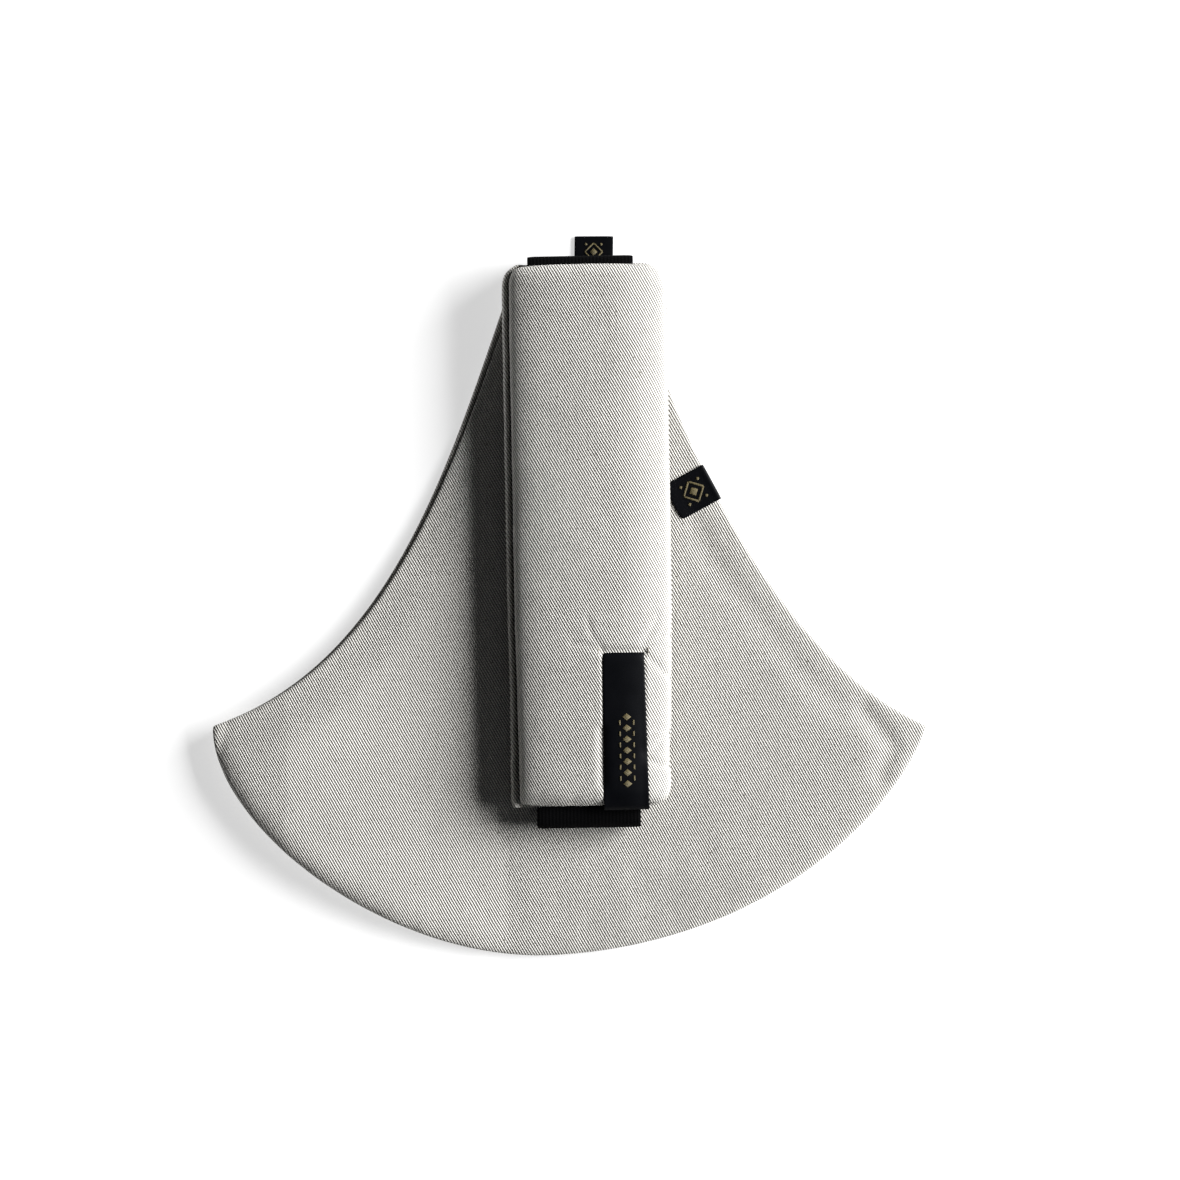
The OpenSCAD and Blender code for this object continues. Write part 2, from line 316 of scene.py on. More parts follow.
def nearest(line, points):
    """Distance from each point to a line's points, and which of them is the nearest."""
    dense = resample(line, np.linspace(0, 1, 400))
    gaps = np.linalg.norm(points[:, None, :] - dense[None, :, :], axis=2)
    return gaps.min(axis=1), gaps.argmin(axis=1), dense


CORNER_L = np.array([back_low.x, CORNER_Y])
CORNER_R = np.array([back_high.x, CORNER_Y])
BOTTOM = np.array([BOTTOM_X, BOTTOM_Y])
SEAT_MIDDLE = np.array([NECK_X, MIDDLE_Y])


def left_rim(inset):
    top = np.array([NECK_X - NECK_HALF + inset, back_high.y])
    shift = np.array([inset / 2, -inset / 2])
    return cubic(top, polar(top, LEFT_NECK), polar(CORNER_L, LEFT_CORNER) + shift, CORNER_L)


def right_rim(inset):
    top = np.array([NECK_X + NECK_HALF - inset, back_high.y])
    shift = np.array([-inset / 2, -inset / 2])
    return cubic(top, polar(top, RIGHT_NECK), polar(CORNER_R, RIGHT_CORNER) + shift, CORNER_R)


def bottom_edge():
    left = cubic(CORNER_L, polar(CORNER_L, LEFT_DROP), polar(BOTTOM, BOTTOM_LEFT), BOTTOM)
    right = cubic(BOTTOM, polar(BOTTOM, BOTTOM_RIGHT), polar(CORNER_R, RIGHT_DROP), CORNER_R)
    return np.concatenate([left, right[1:]])


def inward(line):
    """Unit vectors from a line's points towards the middle of the seat."""
    ways = SEAT_MIDDLE - line
    return ways / np.linalg.norm(ways, axis=1)[:, None]


def below(line, y):
    """The stretch of a rim that lies below a place along Y."""
    keep = line[line[:, 1] < y]
    first = np.array([np.interp(-y, -line[:, 1], line[:, 0]), y])
    return np.concatenate([first[None, :], keep])


def patch(left, right, bottom, rows, columns):
    """A grid of points between two rims, the line between their tops, and the bottom."""
    u = np.linspace(0, 1, columns)[None, :, None]
    v = np.linspace(0, 1, rows)[:, None, None]
    side_l = resample(left, v.ravel())[:, None, :]
    side_r = resample(right, v.ravel())[:, None, :]
    low = resample(bottom, u.ravel())[None, :, :]
    high = left[0] * (1 - u) + right[0] * u
    corners = (1 - v) * ((1 - u) * left[0] + u * right[0]) + v * ((1 - u) * left[-1] + u * right[-1])
    return (1 - v) * high + v * low + (1 - u) * side_l + u * side_r - corners


# ---------------------------------------------------------------- materials


class Graph:
    """A material's node tree with short calls for the nodes used here."""

    def __init__(self, name):
        self.material = bpy.data.materials.new(name)
        self.material.use_nodes = True
        self.tree = self.material.node_tree
        self.tree.nodes.clear()
        self.shader = self.add("ShaderNodeBsdfPrincipled")
        output = self.add("ShaderNodeOutputMaterial")
        self.link(self.shader.outputs[0], output.inputs["Surface"])

    def add(self, kind, **settings):
        node = self.tree.nodes.new(kind)
        for key, value in settings.items():
            setattr(node, key, value)
        return node

    def link(self, source, target):
        self.tree.links.new(source, target)

    def put(self, socket, value):
        """A number or colour goes on the socket, and an output is linked to it."""
        if isinstance(value, bpy.types.NodeSocket):
            self.link(value, socket)
        else:
            socket.default_value = value

    def uv(self):
        return self.add("ShaderNodeUVMap", uv_map="weave").outputs[0]

    def axes(self, vector):
        node = self.add("ShaderNodeSeparateXYZ")
        self.link(vector, node.inputs[0])
        return node.outputs[0], node.outputs[1], node.outputs[2]

    def vector(self, x, y, z=0.0):
        node = self.add("ShaderNodeCombineXYZ")
        for socket, value in zip(node.inputs, (x, y, z)):
            self.put(socket, value)
        return node.outputs[0]

    def math(self, operation, *values):
        node = self.add("ShaderNodeMath", operation=operation)
        for socket, value in zip(node.inputs, values):
            self.put(socket, value)
        return node.outputs[0]

    def times(self, a, b):
        return self.math("MULTIPLY", a, b)

    def plus(self, a, b):
        return self.math("ADD", a, b)

    def times_add(self, a, b, c):
        return self.math("MULTIPLY_ADD", a, b, c)

    def wave(self, phase):
        """0 to 1 to 0 over each whole number of phase."""
        return self.times_add(self.math("COSINE", self.times(phase, 2 * math.pi)), 0.5, 0.5)

    def noise(self, vector, scale, detail=2.0, roughness=0.5):
        node = self.add("ShaderNodeTexNoise")
        self.link(vector, node.inputs["Vector"])
        node.inputs["Scale"].default_value = scale
        node.inputs["Detail"].default_value = detail
        node.inputs["Roughness"].default_value = roughness
        return node.outputs[0]

    def step(self, value, low, high):
        node = self.add("ShaderNodeMapRange", interpolation_type="SMOOTHSTEP")
        for socket, given in zip(node.inputs, (value, low, high, 0.0, 1.0)):
            self.put(socket, given)
        return node.outputs[0]

    def mix(self, factor, a, b):
        node = self.add("ShaderNodeMix", data_type="RGBA")
        self.put(node.inputs[0], factor)
        self.put(node.inputs[6], a)
        self.put(node.inputs[7], b)
        return node.outputs[2]

    def shade(self, colour, amount):
        """A colour made lighter or darker by a number round 1."""
        node = self.add("ShaderNodeVectorMath", operation="SCALE")
        self.put(node.inputs[0], colour)
        self.put(node.inputs["Scale"], amount)
        return node.outputs[0]

    def bump(self, height, depth):
        node = self.add("ShaderNodeBump")
        node.inputs["Distance"].default_value = depth
        self.link(height, node.inputs["Height"])
        self.link(node.outputs[0], self.shader.inputs["Normal"])

    def finish(self, colour, roughness, **constants):
        self.put(self.shader.inputs["Base Color"], colour)
        self.put(self.shader.inputs["Roughness"], roughness)
        for name, value in constants.items():
            self.shader.inputs[name.replace("_", " ")].default_value = value
        return self.material


def loosened(graph, amount, size):
    """The cloth's own coordinates, shifted a little so that no two threads run quite straight."""
    x, y, _ = graph.axes(graph.uv())
    spot = graph.vector(x, y)
    shift_x = graph.times_add(graph.noise(spot, 1 / size, 3), 2 * amount, -amount)
    other = graph.vector(y, x, 3.7)
    shift_y = graph.times_add(graph.noise(other, 1 / size, 3), 2 * amount, -amount)
    return graph.plus(x, shift_x), graph.plus(y, shift_y), spot


def canvas_material(name, yarn, gap, pitch, bead, depth):
    """Heavy cotton twill: slanting ribs of short floats, uneven yarns and a few dark seed flecks."""
    g = Graph(name)
    x, y, spot = loosened(g, 0.35 * MM, 11 * MM)
    across_x, across_y = math.sin(RIB_LEAN) / pitch, math.cos(RIB_LEAN) / pitch
    along_x, along_y = math.cos(RIB_LEAN) / bead, -math.sin(RIB_LEAN) / bead
    rib = g.times_add(x, across_x, g.times(y, across_y))
    stagger = g.times(g.math("ROUND", rib), 0.5)
    float_phase = g.times_add(x, along_x, g.times_add(y, along_y, stagger))
    ribs, floats = g.wave(rib), g.wave(float_phase)
    height = g.times(g.math("POWER", ribs, 0.8), g.times_add(floats, 0.5, 0.5))
    warp = g.noise(g.vector(g.times(x, 900.0), g.times(y, 40.0)), 1.0, 1)
    weft = g.noise(g.vector(g.times(x, 40.0), g.times(y, 900.0), 5.0), 1.0, 1)
    cloudy = g.noise(spot, 1 / (38 * MM), 3)
    grain = g.noise(spot, 1 / (0.9 * MM), 2)
    uneven = g.plus(g.plus(warp, weft), g.plus(g.times(cloudy, 0.5), grain))
    tone = g.times_add(uneven, 0.26, 1 - 0.26 * 1.75)
    threads = g.mix(g.step(height, 0.02, 0.62), gap, yarn)
    fleck_place = g.noise(g.vector(x, y, 9.0), 1 / (1.7 * MM), 1)
    flecks = g.step(fleck_place, 0.725, 0.76)
    colour = g.mix(g.times(flecks, 0.8), g.shade(threads, tone), (0.10, 0.085, 0.06, 1))
    g.bump(g.times_add(uneven, 0.22, height), depth)
    return g.finish(colour, g.times_add(grain, 0.1, 0.85), Sheen_Weight=0.12, Sheen_Roughness=0.6)


def plain_weave_material(name, yarn, gap, pitch, depth):
    """Plain weave of lighter yarn, for the lining and the seam tape."""
    g = Graph(name)
    x, y, spot = loosened(g, 0.15 * MM, 9 * MM)
    over = g.wave(g.math("DIVIDE", g.plus(x, y), pitch))
    under = g.wave(g.math("DIVIDE", g.math("SUBTRACT", x, y), pitch))
    height = g.times(over, under)
    cloudy = g.noise(spot, 1 / (22 * MM), 3)
    grain = g.noise(spot, 1 / (0.7 * MM), 2)
    tone = g.times_add(g.plus(cloudy, grain), 0.22, 0.78)
    threads = g.mix(g.step(height, 0.05, 0.6), gap, yarn)
    g.bump(height, depth)
    return g.finish(g.shade(threads, tone), g.times_add(grain, 0.1, 0.82), Sheen_Weight=0.08)


def webbing_material(name, light, dark):
    """Cotton webbing: cords along the strap crossed by fine picks, dull black."""
    g = Graph(name)
    x, y, spot = loosened(g, 0.08 * MM, 6 * MM)
    cords = g.wave(g.math("DIVIDE", x, 2.1 * MM))
    half_step = g.times(g.math("ROUND", g.math("DIVIDE", x, 2.1 * MM)), 0.5)
    picks = g.wave(g.plus(g.math("DIVIDE", y, 1.3 * MM), half_step))
    height = g.times(g.times_add(cords, 0.6, 0.4), g.times_add(picks, 0.5, 0.5))
    fuzz = g.noise(spot, 1 / (0.6 * MM), 3)
    worn = g.noise(spot, 1 / (17 * MM), 3)
    tone = g.times(g.times_add(fuzz, 0.5, 0.25), g.times_add(worn, 0.8, 0.6))
    colour = g.mix(g.times(height, tone), dark, light)
    g.bump(g.times_add(fuzz, 0.3, height), 0.22 * MM)
    return g.finish(colour, g.times_add(fuzz, 0.15, 0.72), Specular_IOR_Level=0.05)


def satin_material(name, light, dark):
    """Woven satin label: long fine floats that run across it and shine a little."""
    g = Graph(name)
    x, y, spot = loosened(g, 0.05 * MM, 5 * MM)
    floats = g.wave(g.math("DIVIDE", y, 0.42 * MM))
    ends = g.noise(g.vector(g.times(x, 400.0), g.times(y, 2400.0)), 1.0, 2)
    worn = g.noise(spot, 1 / (12 * MM), 2)
    height = g.times_add(ends, 0.6, g.times(floats, 0.4))
    colour = g.mix(g.times(height, g.times_add(worn, 0.6, 0.4)), dark, light)
    g.bump(height, 0.05 * MM)
    return g.finish(colour, g.times_add(worn, 0.2, 0.42), Specular_IOR_Level=0.08)


def thread_material(name, light, dark, roughness):
    """Twisted sewing thread: the two plies show as fine slanting lines."""
    g = Graph(name)
    x, y, spot = loosened(g, 0.02 * MM, 2 * MM)
    plies = g.wave(g.math("DIVIDE", g.plus(x, y), 0.35 * MM))
    fuzz = g.noise(spot, 1 / (0.4 * MM), 2)
    colour = g.mix(g.times(plies, g.times_add(fuzz, 0.5, 0.6)), dark, light)
    g.bump(plies, 0.06 * MM)
    return g.finish(colour, g.times_add(fuzz, 0.1, roughness), Specular_IOR_Level=0.4)


def foam_material(name):
    """Open-cell polyurethane foam."""
    g = Graph(name)
    spot = g.vector(*g.axes(g.uv())[:2])
    cells = g.add("ShaderNodeTexVoronoi", feature="F1")
    g.link(spot, cells.inputs["Vector"])
    cells.inputs["Scale"].default_value = 1 / (1.1 * MM)
    pores = g.step(cells.outputs[0], 0.1, 0.6)
    stain = g.noise(spot, 1 / (30 * MM), 3)
    colour = g.mix(pores, (0.44, 0.43, 0.40, 1), (0.72, 0.70, 0.64, 1))
    g.bump(pores, 0.35 * MM)
    return g.finish(g.shade(colour, g.times_add(stain, 0.3, 0.85)), g.times_add(stain, 0.1, 0.9))


def steel_material(name):
    """Black-plated steel wire and pressings: fine polishing lines and lighter rubbed spots."""
    g = Graph(name)
    place = g.add("ShaderNodeTexCoord").outputs["Object"]
    x, y, z = g.axes(place)
    lines = g.noise(g.vector(g.times(x, 300.0), g.times(y, 4000.0), z), 1.0, 2)
    rubbed = g.step(g.noise(place, 1 / (4 * MM), 4, 0.7), 0.58, 0.78)
    colour = g.mix(rubbed, (0.018, 0.018, 0.020, 1), (0.11, 0.11, 0.115, 1))
    g.bump(lines, 0.02 * MM)
    return g.finish(colour, g.times_add(lines, 0.18, 0.22), Metallic=0.9, Coat_Weight=0.15)


canvas = canvas_material(
    "twill_canvas", (0.80, 0.785, 0.745, 1), (0.16, 0.15, 0.13, 1), RIB_PITCH, BEAD_PITCH, 0.40 * MM
)
lining = plain_weave_material(
    "cotton_lining", (0.60, 0.575, 0.52, 1), (0.26, 0.24, 0.20, 1), 1.1 * MM, 0.12 * MM
)
tape = plain_weave_material("seam_tape", (0.66, 0.63, 0.56, 1), (0.34, 0.31, 0.26, 1), 1.5 * MM, 0.15 * MM)
webbing = webbing_material("black_webbing", (0.0042, 0.0042, 0.0048, 1), (0.0008, 0.0008, 0.0010, 1))
satin = satin_material("black_satin", (0.0030, 0.0035, 0.0055, 1), (0.0010, 0.0012, 0.0018, 1))
gold_thread = thread_material("gold_thread", (0.19, 0.155, 0.068, 1), (0.07, 0.055, 0.024, 1), 0.5)
black_thread = thread_material("black_thread", (0.012, 0.012, 0.014, 1), (0.003, 0.003, 0.004, 1), 0.6)
ecru_thread = thread_material("ecru_thread", (0.66, 0.62, 0.54, 1), (0.34, 0.31, 0.26, 1), 0.65)
foam = foam_material("pad_foam")
steel = steel_material("black_steel")


def dress(obj, material):
    obj.data.materials.clear()
    obj.data.materials.append(material)
    return obj


def stand_in(piece, slot, *nodes):
    """The piece takes the place of its CAD nodes, which are hidden; the paint slot is not used."""
    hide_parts(*nodes)


def mount(piece, body, slot, *nodes):
    """The piece rides a body, in place of its CAD nodes."""
    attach(piece, body)
    stand_in(piece, slot, *nodes)


# ---------------------------------------------------------------- seat: four sheets of cloth

# Levels of the layers, from the frame
canvas_t = back_high.z - back_low.z
front_bottom = front_lining_low.z
front_top = front_high.z

# Rolled rims, where the canvas is turned over the lining
ROLL_W = 3.9 * MM
ROLL_H = 4.3 * MM
HEM_H = 2.5 * MM
EDGE_R = 2.6 * MM
# The front rolls down to the bottom seam over this width, and covers the back's edge there
SEAM_ROLL = 11 * MM
SEAM_DROP = 1.2 * MM
BACK_SEAM_INSET = 1.3 * MM
# The pad presses the seat down: beside it each half of the front rises towards its rim
LEFT_PUFF, RIGHT_PUFF = 9.0 * MM, 3.0 * MM
PUFF_START, PUFF_END = 50 * MM, 150 * MM
# Both panels curl up together at the bottom seam, by this share of that rise
CURL_SHARE = 0.7
# The linings end inside the hems, at the rims and necks
LINING_INSET = 4 * MM
# The sewn bottom edge lifts both panels by this much
SEAM_LIFT = 0.75 * MM

# Soft valleys in the front panel's right side, from the side label to the corner
RIGHT_VALLEY = [
    (0.066, 0.084), (0.075, 0.040), (0.091, 0.014), (0.107, -0.004),
    (0.123, -0.024), (0.145, -0.051), (0.162, -0.068),
]
CORNER_VALLEY = [(0.176, -0.070), (0.187, -0.082), (0.193, -0.092), (0.186, -0.108)]
BOTTOM_VALLEYS = [
    [(-0.052, -0.190), (-0.056, -0.178), (-0.050, -0.166)],
    [(-0.034, -0.196), (-0.039, -0.176), (-0.037, -0.150)],
    [(0.012, -0.204), (0.018, -0.180), (0.016, -0.158)],
    [(0.046, -0.200), (0.047, -0.184), (0.040, -0.168)],
    [(0.094, -0.178), (0.084, -0.164), (0.080, -0.150)],
]


def line_distance(line, x, y):
    """Distance from a point to a line through a few points."""
    best = 1.0
    for (ax, ay), (bx, by) in zip(line, line[1:]):
        dx, dy = bx - ax, by - ay
        t = min(max(((x - ax) * dx + (y - ay) * dy) / (dx * dx + dy * dy), 0.0), 1.0)
        best = min(best, math.hypot(x - ax - t * dx, y - ay - t * dy))
    return best


def puff_at(x, y):
    """How far the front rises beside the pad, at its rims."""
    across = across_strap((x, y))[0]
    beside = min(max((abs(across) - PUFF_START) / (PUFF_END - PUFF_START), 0.0), 1.3)
    return (LEFT_PUFF if across < 0 else RIGHT_PUFF) * beside


def curl_at(x, y, bottom_distance):
    """How far both panels are lifted near the bottom seam."""
    return CURL_SHARE * puff_at(x, y) * (1 - smooth(0.0, 0.035, bottom_distance))


def front_lift(x, y, rim_distance, right_distance, bottom_distance, along):
    """How far the front of the seat stands above where it lies flat."""
    across = across_strap((x, y))[0]
    free = max(smooth(0.036, 0.075, abs(across)), smooth(0.142, 0.165, -y))
    sewn = rise(bottom_distance, 0.016)
    at_rim = 0.6 + 0.4 * smooth(0.0, 0.030, rim_distance)
    puff = puff_at(x, y) * at_rim * (CURL_SHARE + (1 - CURL_SHARE) * sewn)
    puff += 1.2 * MM * smooth(0.142, 0.175, -y) * sewn
    lazy = 0.40 * MM * wander(x, y, 0.058, 1.0) + 0.13 * MM * wander(x, y, 0.024, 2.0)
    fine = 0.035 * MM * wander(x, y, 0.009, 3.0)
    puckers = 0.22 * MM * wander(along, 0.0, 0.012, 4.0) * math.exp(-bottom_distance / 0.022)
    puckers += 0.08 * MM * wander(along, 0.0, 0.005, 6.0) * math.exp(-bottom_distance / 0.009)
    valley = 0.85 * MM * hill(line_distance(RIGHT_VALLEY, x, y), 0.010)
    valley += 1.7 * MM * hill(line_distance(CORNER_VALLEY, x, y), 0.0065)
    for line in BOTTOM_VALLEYS:
        valley += 0.30 * MM * hill(line_distance(line, x, y), 0.008)
    ridge = 0.45 * MM * hill(right_distance - 0.010, 0.008) * smooth(-0.11, -0.05, y)
    return max(puff, curl_at(x, y, bottom_distance)) + free * (lazy + fine - valley + ridge) + puckers


def seat_patch(left_inset, right_inset, top, hem, rows, columns, seam_inset=0.0):
    """Grid of a seat panel whose rims lie hem inside the outline, with its distances from each edge."""
    left = below(left_rim(left_inset + hem), top)
    right = below(right_rim(right_inset + hem), top)
    bottom = bottom_edge()
    if seam_inset:
        bottom = bottom + inward(bottom) * seam_inset
        keep_l = left[:, 0] > bottom[0, 0]
        keep_r = right[:, 0] < bottom[-1, 0]
        left = np.concatenate([left[keep_l], bottom[:1]])
        right = np.concatenate([right[keep_r], bottom[-1:]])
    grid = patch(left, right, bottom, rows, columns)
    flat = grid.reshape(-1, 2)
    rim_l, _, _ = nearest(left, flat)
    rim_r, _, _ = nearest(right, flat)
    low, low_at, dense = nearest(bottom, flat)
    neck = left[0, 1] - flat[:, 1]
    return grid, rim_l, rim_r, low, low_at / len(dense), neck


def left_inset_at(points):
    """How far the front's left rim lies inside the back's, beside each point."""
    back_line, front_line = left_rim(0), left_rim(FRONT_INSET)
    _, index, dense = nearest(back_line, points)
    gap, _, _ = nearest(front_line, dense)
    return gap[index]


def sheet_from(name, grid, low, high):
    """A panel between two lists of heights over a grid."""
    rows, columns = grid.shape[:2]
    top = np.dstack([grid, high.reshape(rows, columns)])
    bottom = np.dstack([grid, low.reshape(rows, columns)])
    return subdivide(closed_sheet(name, top, bottom, grid))


def back_canvas():
    """Outer cloth of the back: its left rim is a full roll that shows beside the front."""
    grid, rim_l, rim_r, low_d, _, neck = seat_patch(
        0, BACK_INSET, back_high.y, 0, rows=110, columns=170, seam_inset=BACK_SEAM_INSET
    )
    flat = grid.reshape(-1, 2)
    inset = left_inset_at(flat)
    low, high = [], []
    for k, (x, y) in enumerate(flat):
        width = max(min(ROLL_W, inset[k] * 0.92), 0.8 * MM)
        tall = canvas_t + (ROLL_H - canvas_t) * smooth(1.6 * MM, 3.6 * MM, inset[k])
        roll = tall * half_round(rim_l[k], width)
        hemmed = min(rim_r[k], neck[k])
        hem = HEM_H * rise(hemmed, 1.5 * MM) * (1 - smooth(5 * MM, 8 * MM, hemmed))
        top = max(canvas_t * rise(min(rim_l[k], hemmed) + 0.3 * MM, 1.2 * MM), roll, hem)
        seam = 1 - rise(low_d[k], 5 * MM)
        top += 0.8 * MM * seam
        curl = curl_at(x, y, low_d[k])
        low.append(curl + SEAM_LIFT * seam + 0.35 * MM * (1 - rise(rim_l[k], 1.5 * MM)))
        high.append(curl + top + 0.04 * MM * wander(x, y, 0.006, 8.0))
    return sheet_from("back_panel_canvas", grid, np.array(low), np.array(high))


def back_lining():
    """Lining of the back, inside its hems."""
    grid, _, _, low_d, _, _ = seat_patch(
        0, BACK_INSET, back_high.y - LINING_INSET, LINING_INSET, rows=80, columns=120, seam_inset=SEAM_ROLL
    )
    flat = grid.reshape(-1, 2)
    curl = np.array([curl_at(x, y, d + SEAM_ROLL) for (x, y), d in zip(flat, low_d)])
    wave = np.array([0.08 * MM * wander(x, y, 0.02, 11.0) for x, y in flat])
    low = curl + back_lining_low.z + 0.05 * MM
    high = curl + back_lining_high.z - 0.1 * MM + wave
    return sheet_from("back_panel_lining_sheet", grid, low, high)


def front_canvas():
    """Outer cloth of the front: it puffs up beside the pad, and rolls down to the bottom seam."""
    grid, rim_l, rim_r, low_d, along, neck = seat_patch(
        FRONT_INSET, 0, front_high.y, 0, rows=130, columns=190
    )
    flat = grid.reshape(-1, 2)
    low, high = [], []
    for k, (x, y) in enumerate(flat):
        rim = min(rim_l[k], rim_r[k], neck[k])
        lift = front_lift(x, y, rim, rim_r[k], low_d[k], along[k] * SEAM_LENGTH)
        held = rise(low_d[k], SEAM_ROLL)
        edge = rise(rim, EDGE_R)
        top = front_top - SEAM_DROP * (1 - held) - 0.9 * MM * (1 - edge)
        inside = smooth(2.4 * MM, 5 * MM, rim)
        off_seam = smooth(7 * MM, 13 * MM, low_d[k])
        under = front_bottom + 0.1 * MM + (front_low.z - front_bottom) * inside * off_seam
        under -= 0.35 * MM * (1 - rise(low_d[k], 2 * MM))
        under += lift
        near = 1 - smooth(1 * MM, 6 * MM, low_d[k])
        sewn_level = curl_at(x, y, low_d[k]) + canvas_t + SEAM_LIFT
        low.append(under + near * min(sewn_level - under, 0.0))
        high.append(top + lift)
    return sheet_from("front_panel_canvas", grid, np.array(low), np.array(high))


def front_lining():
    """Lining of the front, inside its hems: it follows the outer cloth."""
    grid, rim_l, rim_r, low_d, along, neck = seat_patch(
        FRONT_INSET, 0, front_high.y - LINING_INSET, LINING_INSET, rows=80, columns=120, seam_inset=SEAM_ROLL
    )
    flat = grid.reshape(-1, 2)
    low, high = [], []
    for k, (x, y) in enumerate(flat):
        rim = min(rim_l[k], rim_r[k], neck[k])
        to_rim, to_right, to_seam = rim + LINING_INSET, rim_r[k] + LINING_INSET, low_d[k] + SEAM_ROLL
        lift = front_lift(x, y, to_rim, to_right, to_seam, along[k] * SEAM_LENGTH)
        low.append(front_bottom + 0.15 * MM + lift)
        high.append(front_lining_high.z - 0.15 * MM + lift)
    return sheet_from("front_panel_lining_sheet", grid, np.array(low), np.array(high))


def seam_tape():
    """Tape round the raw edges of the bottom seam, gathered a little by its stitches."""
    steps, lanes = 150, 7
    line = resample(bottom_edge(), np.linspace(0.012, 0.988, steps))
    ways = inward(line)

    def place(i, j):
        share = j / (lanes - 1)
        reach = 2.6 * MM + share * 7.2 * MM
        x, y = line[i] + ways[i] * reach
        crown = 0.12 * MM * math.sin(math.pi * share) + 0.07 * MM * wander(i * 0.3, share * 3, 1.0, 15.0)
        curl = curl_at(x, y, reach)
        above = (x, y, curl + binding_top - 0.15 * MM + crown)
        return above, (x, y, curl + canvas_t + 0.25 * MM), (i * 3.6 * MM, j * MM)

    return solid_from("bottom_seam_tape", steps, lanes, place)


back = dress(back_canvas(), canvas)
back_inner = dress(back_lining(), lining)
front = dress(front_canvas(), canvas)
front_inner = dress(front_lining(), lining)
seam = dress(seam_tape(), tape)

mount(back, "seat", "canvas", "back_panel_outer")
mount(back_inner, "seat", "lining", "back_panel_lining")
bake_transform(front)
stand_in(front, "canvas", "front_lower_outer", "front_upper_outer")
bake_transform(front_inner)
stand_in(front_inner, "lining", "front_lower_lining", "front_upper_lining")
mount(seam, "seat", "binding_tape", "bottom_seam_binding")

# ---------------------------------------------------------------- webbing: ribbons along a path


def ribbon(name, path, width, thickness, shift=0.0, lanes=17, frame_of=on_strap):
    """A flat strap along points (along, up). It has rounded selvedges and ends."""
    path = np.array(path, float)
    steps = np.diff(path, axis=0)
    lengths = np.concatenate([[0], np.cumsum(np.linalg.norm(steps, axis=1))])
    tangents = np.gradient(path, axis=0)
    tangents /= np.linalg.norm(tangents, axis=1)[:, None]
    normals = np.stack([-tangents[:, 1], tangents[:, 0]], axis=1)
    shares = np.linspace(-1, 1, lanes)
    shares = np.sign(shares) * np.abs(shares) ** 0.8
    half = width / 2
    rings, uvs = [], []
    for point, normal, length in zip(path, normals, lengths):
        ring, uv = [], []
        for side in (1, -1):
            for share in shares if side > 0 else shares[::-1]:
                thick = thickness / 2 * (1.0 - 0.45 * smooth(0.93, 1.0, abs(share)))
                spot = point + normal * (side * thick)
                ring.append(frame_of(shift + share * half, spot[0], spot[1]))
                uv.append((share * half, length))
        rings.append(ring)
        uvs.append(uv)
    return subdivide(loft(name, rings, uvs))


def arc(centre, radius, start, end, steps=10):
    """Points (along, up) round a centre from one angle to another, in degrees."""
    angles = np.radians(np.linspace(start, end, steps))
    return [(centre[0] + radius * math.cos(a), centre[1] + radius * math.sin(a)) for a in angles]


def straight(a, b, step=4 * MM):
    """Points from a up to but without b."""
    a, b = np.array(a, float), np.array(b, float)
    count = max(int(np.linalg.norm(b - a) / step), 1)
    return [tuple(a + (b - a) * i / count) for i in range(count)]


half_t = WEB_T / 2
neck_level = back_lining_high.z + half_t
CORE_TOP = 22.2 * MM
RUN_LEVEL = run_bottom + half_t
top_reach = fold_top.y
fold_r = 3.0 * MM


def neck_fold():
    """The strap's sewn end on the back neck, and its fold up to the pad."""
    path = straight((ring_pivot.y, neck_level), (top_reach - fold_r, neck_level))
    path += arc((top_reach - fold_r, neck_level + fold_r), fold_r, -90, 0, 6)[:-1]
    path += straight((top_reach, neck_level + fold_r), (top_reach, CORE_TOP - fold_r), 2 * MM)
    path += arc((top_reach - fold_r, CORE_TOP - fold_r), fold_r, 0, 90, 6)
    path += [(top_reach - fold_r - 3 * MM, CORE_TOP), (top_reach - fold_r - 6 * MM, CORE_TOP)]
    return ribbon("strap_neck_fold", path, WEB_W + 1.2 * MM, WEB_T, shift=0.4 * MM)


def strap_core():
    """The strap inside the pad."""
    path = straight((cover_low.y + 4 * MM, CORE_TOP), (top_reach - 13 * MM, CORE_TOP), 8 * MM)
    path += [(top_reach - 13 * MM, CORE_TOP)]
    return ribbon("strap_core", path, WEB_W, WEB_T * 0.95)


def strap_run():
    """The strap from the pad's lower end, turned under it and back to the ring."""
    turn_z = (CORE_TOP + RUN_LEVEL) / 2
    turn_r = (CORE_TOP - RUN_LEVEL) / 2
    path = straight((cover_low.y + 2 * MM, CORE_TOP), (fold_bottom.y, CORE_TOP), 2 * MM)
    path += arc((fold_bottom.y, turn_z), turn_r, 90, 270, 18)
    path += straight((fold_bottom.y + 3 * MM, RUN_LEVEL), (ring_pivot.y - 38 * MM, RUN_LEVEL), 6 * MM)
    path += [(ring_pivot.y - 38 * MM, RUN_LEVEL)]
    return ribbon("strap_run", path, WEB_W, WEB_T)


neck = dress(neck_fold(), webbing)
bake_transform(neck)
stand_in(neck, "webbing", "neck_webbing")

core = dress(strap_core(), webbing)
mount(core, "pad", "webbing", "core_webbing")

run = dress(strap_run(), webbing)
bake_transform(run)
stand_in(run, "webbing", "run_webbing")

# Loops round the ring's two bars and the adjuster's bar
ring_inner_y = ring_start + 1.5 * MM
ring_z = ring_pivot.z


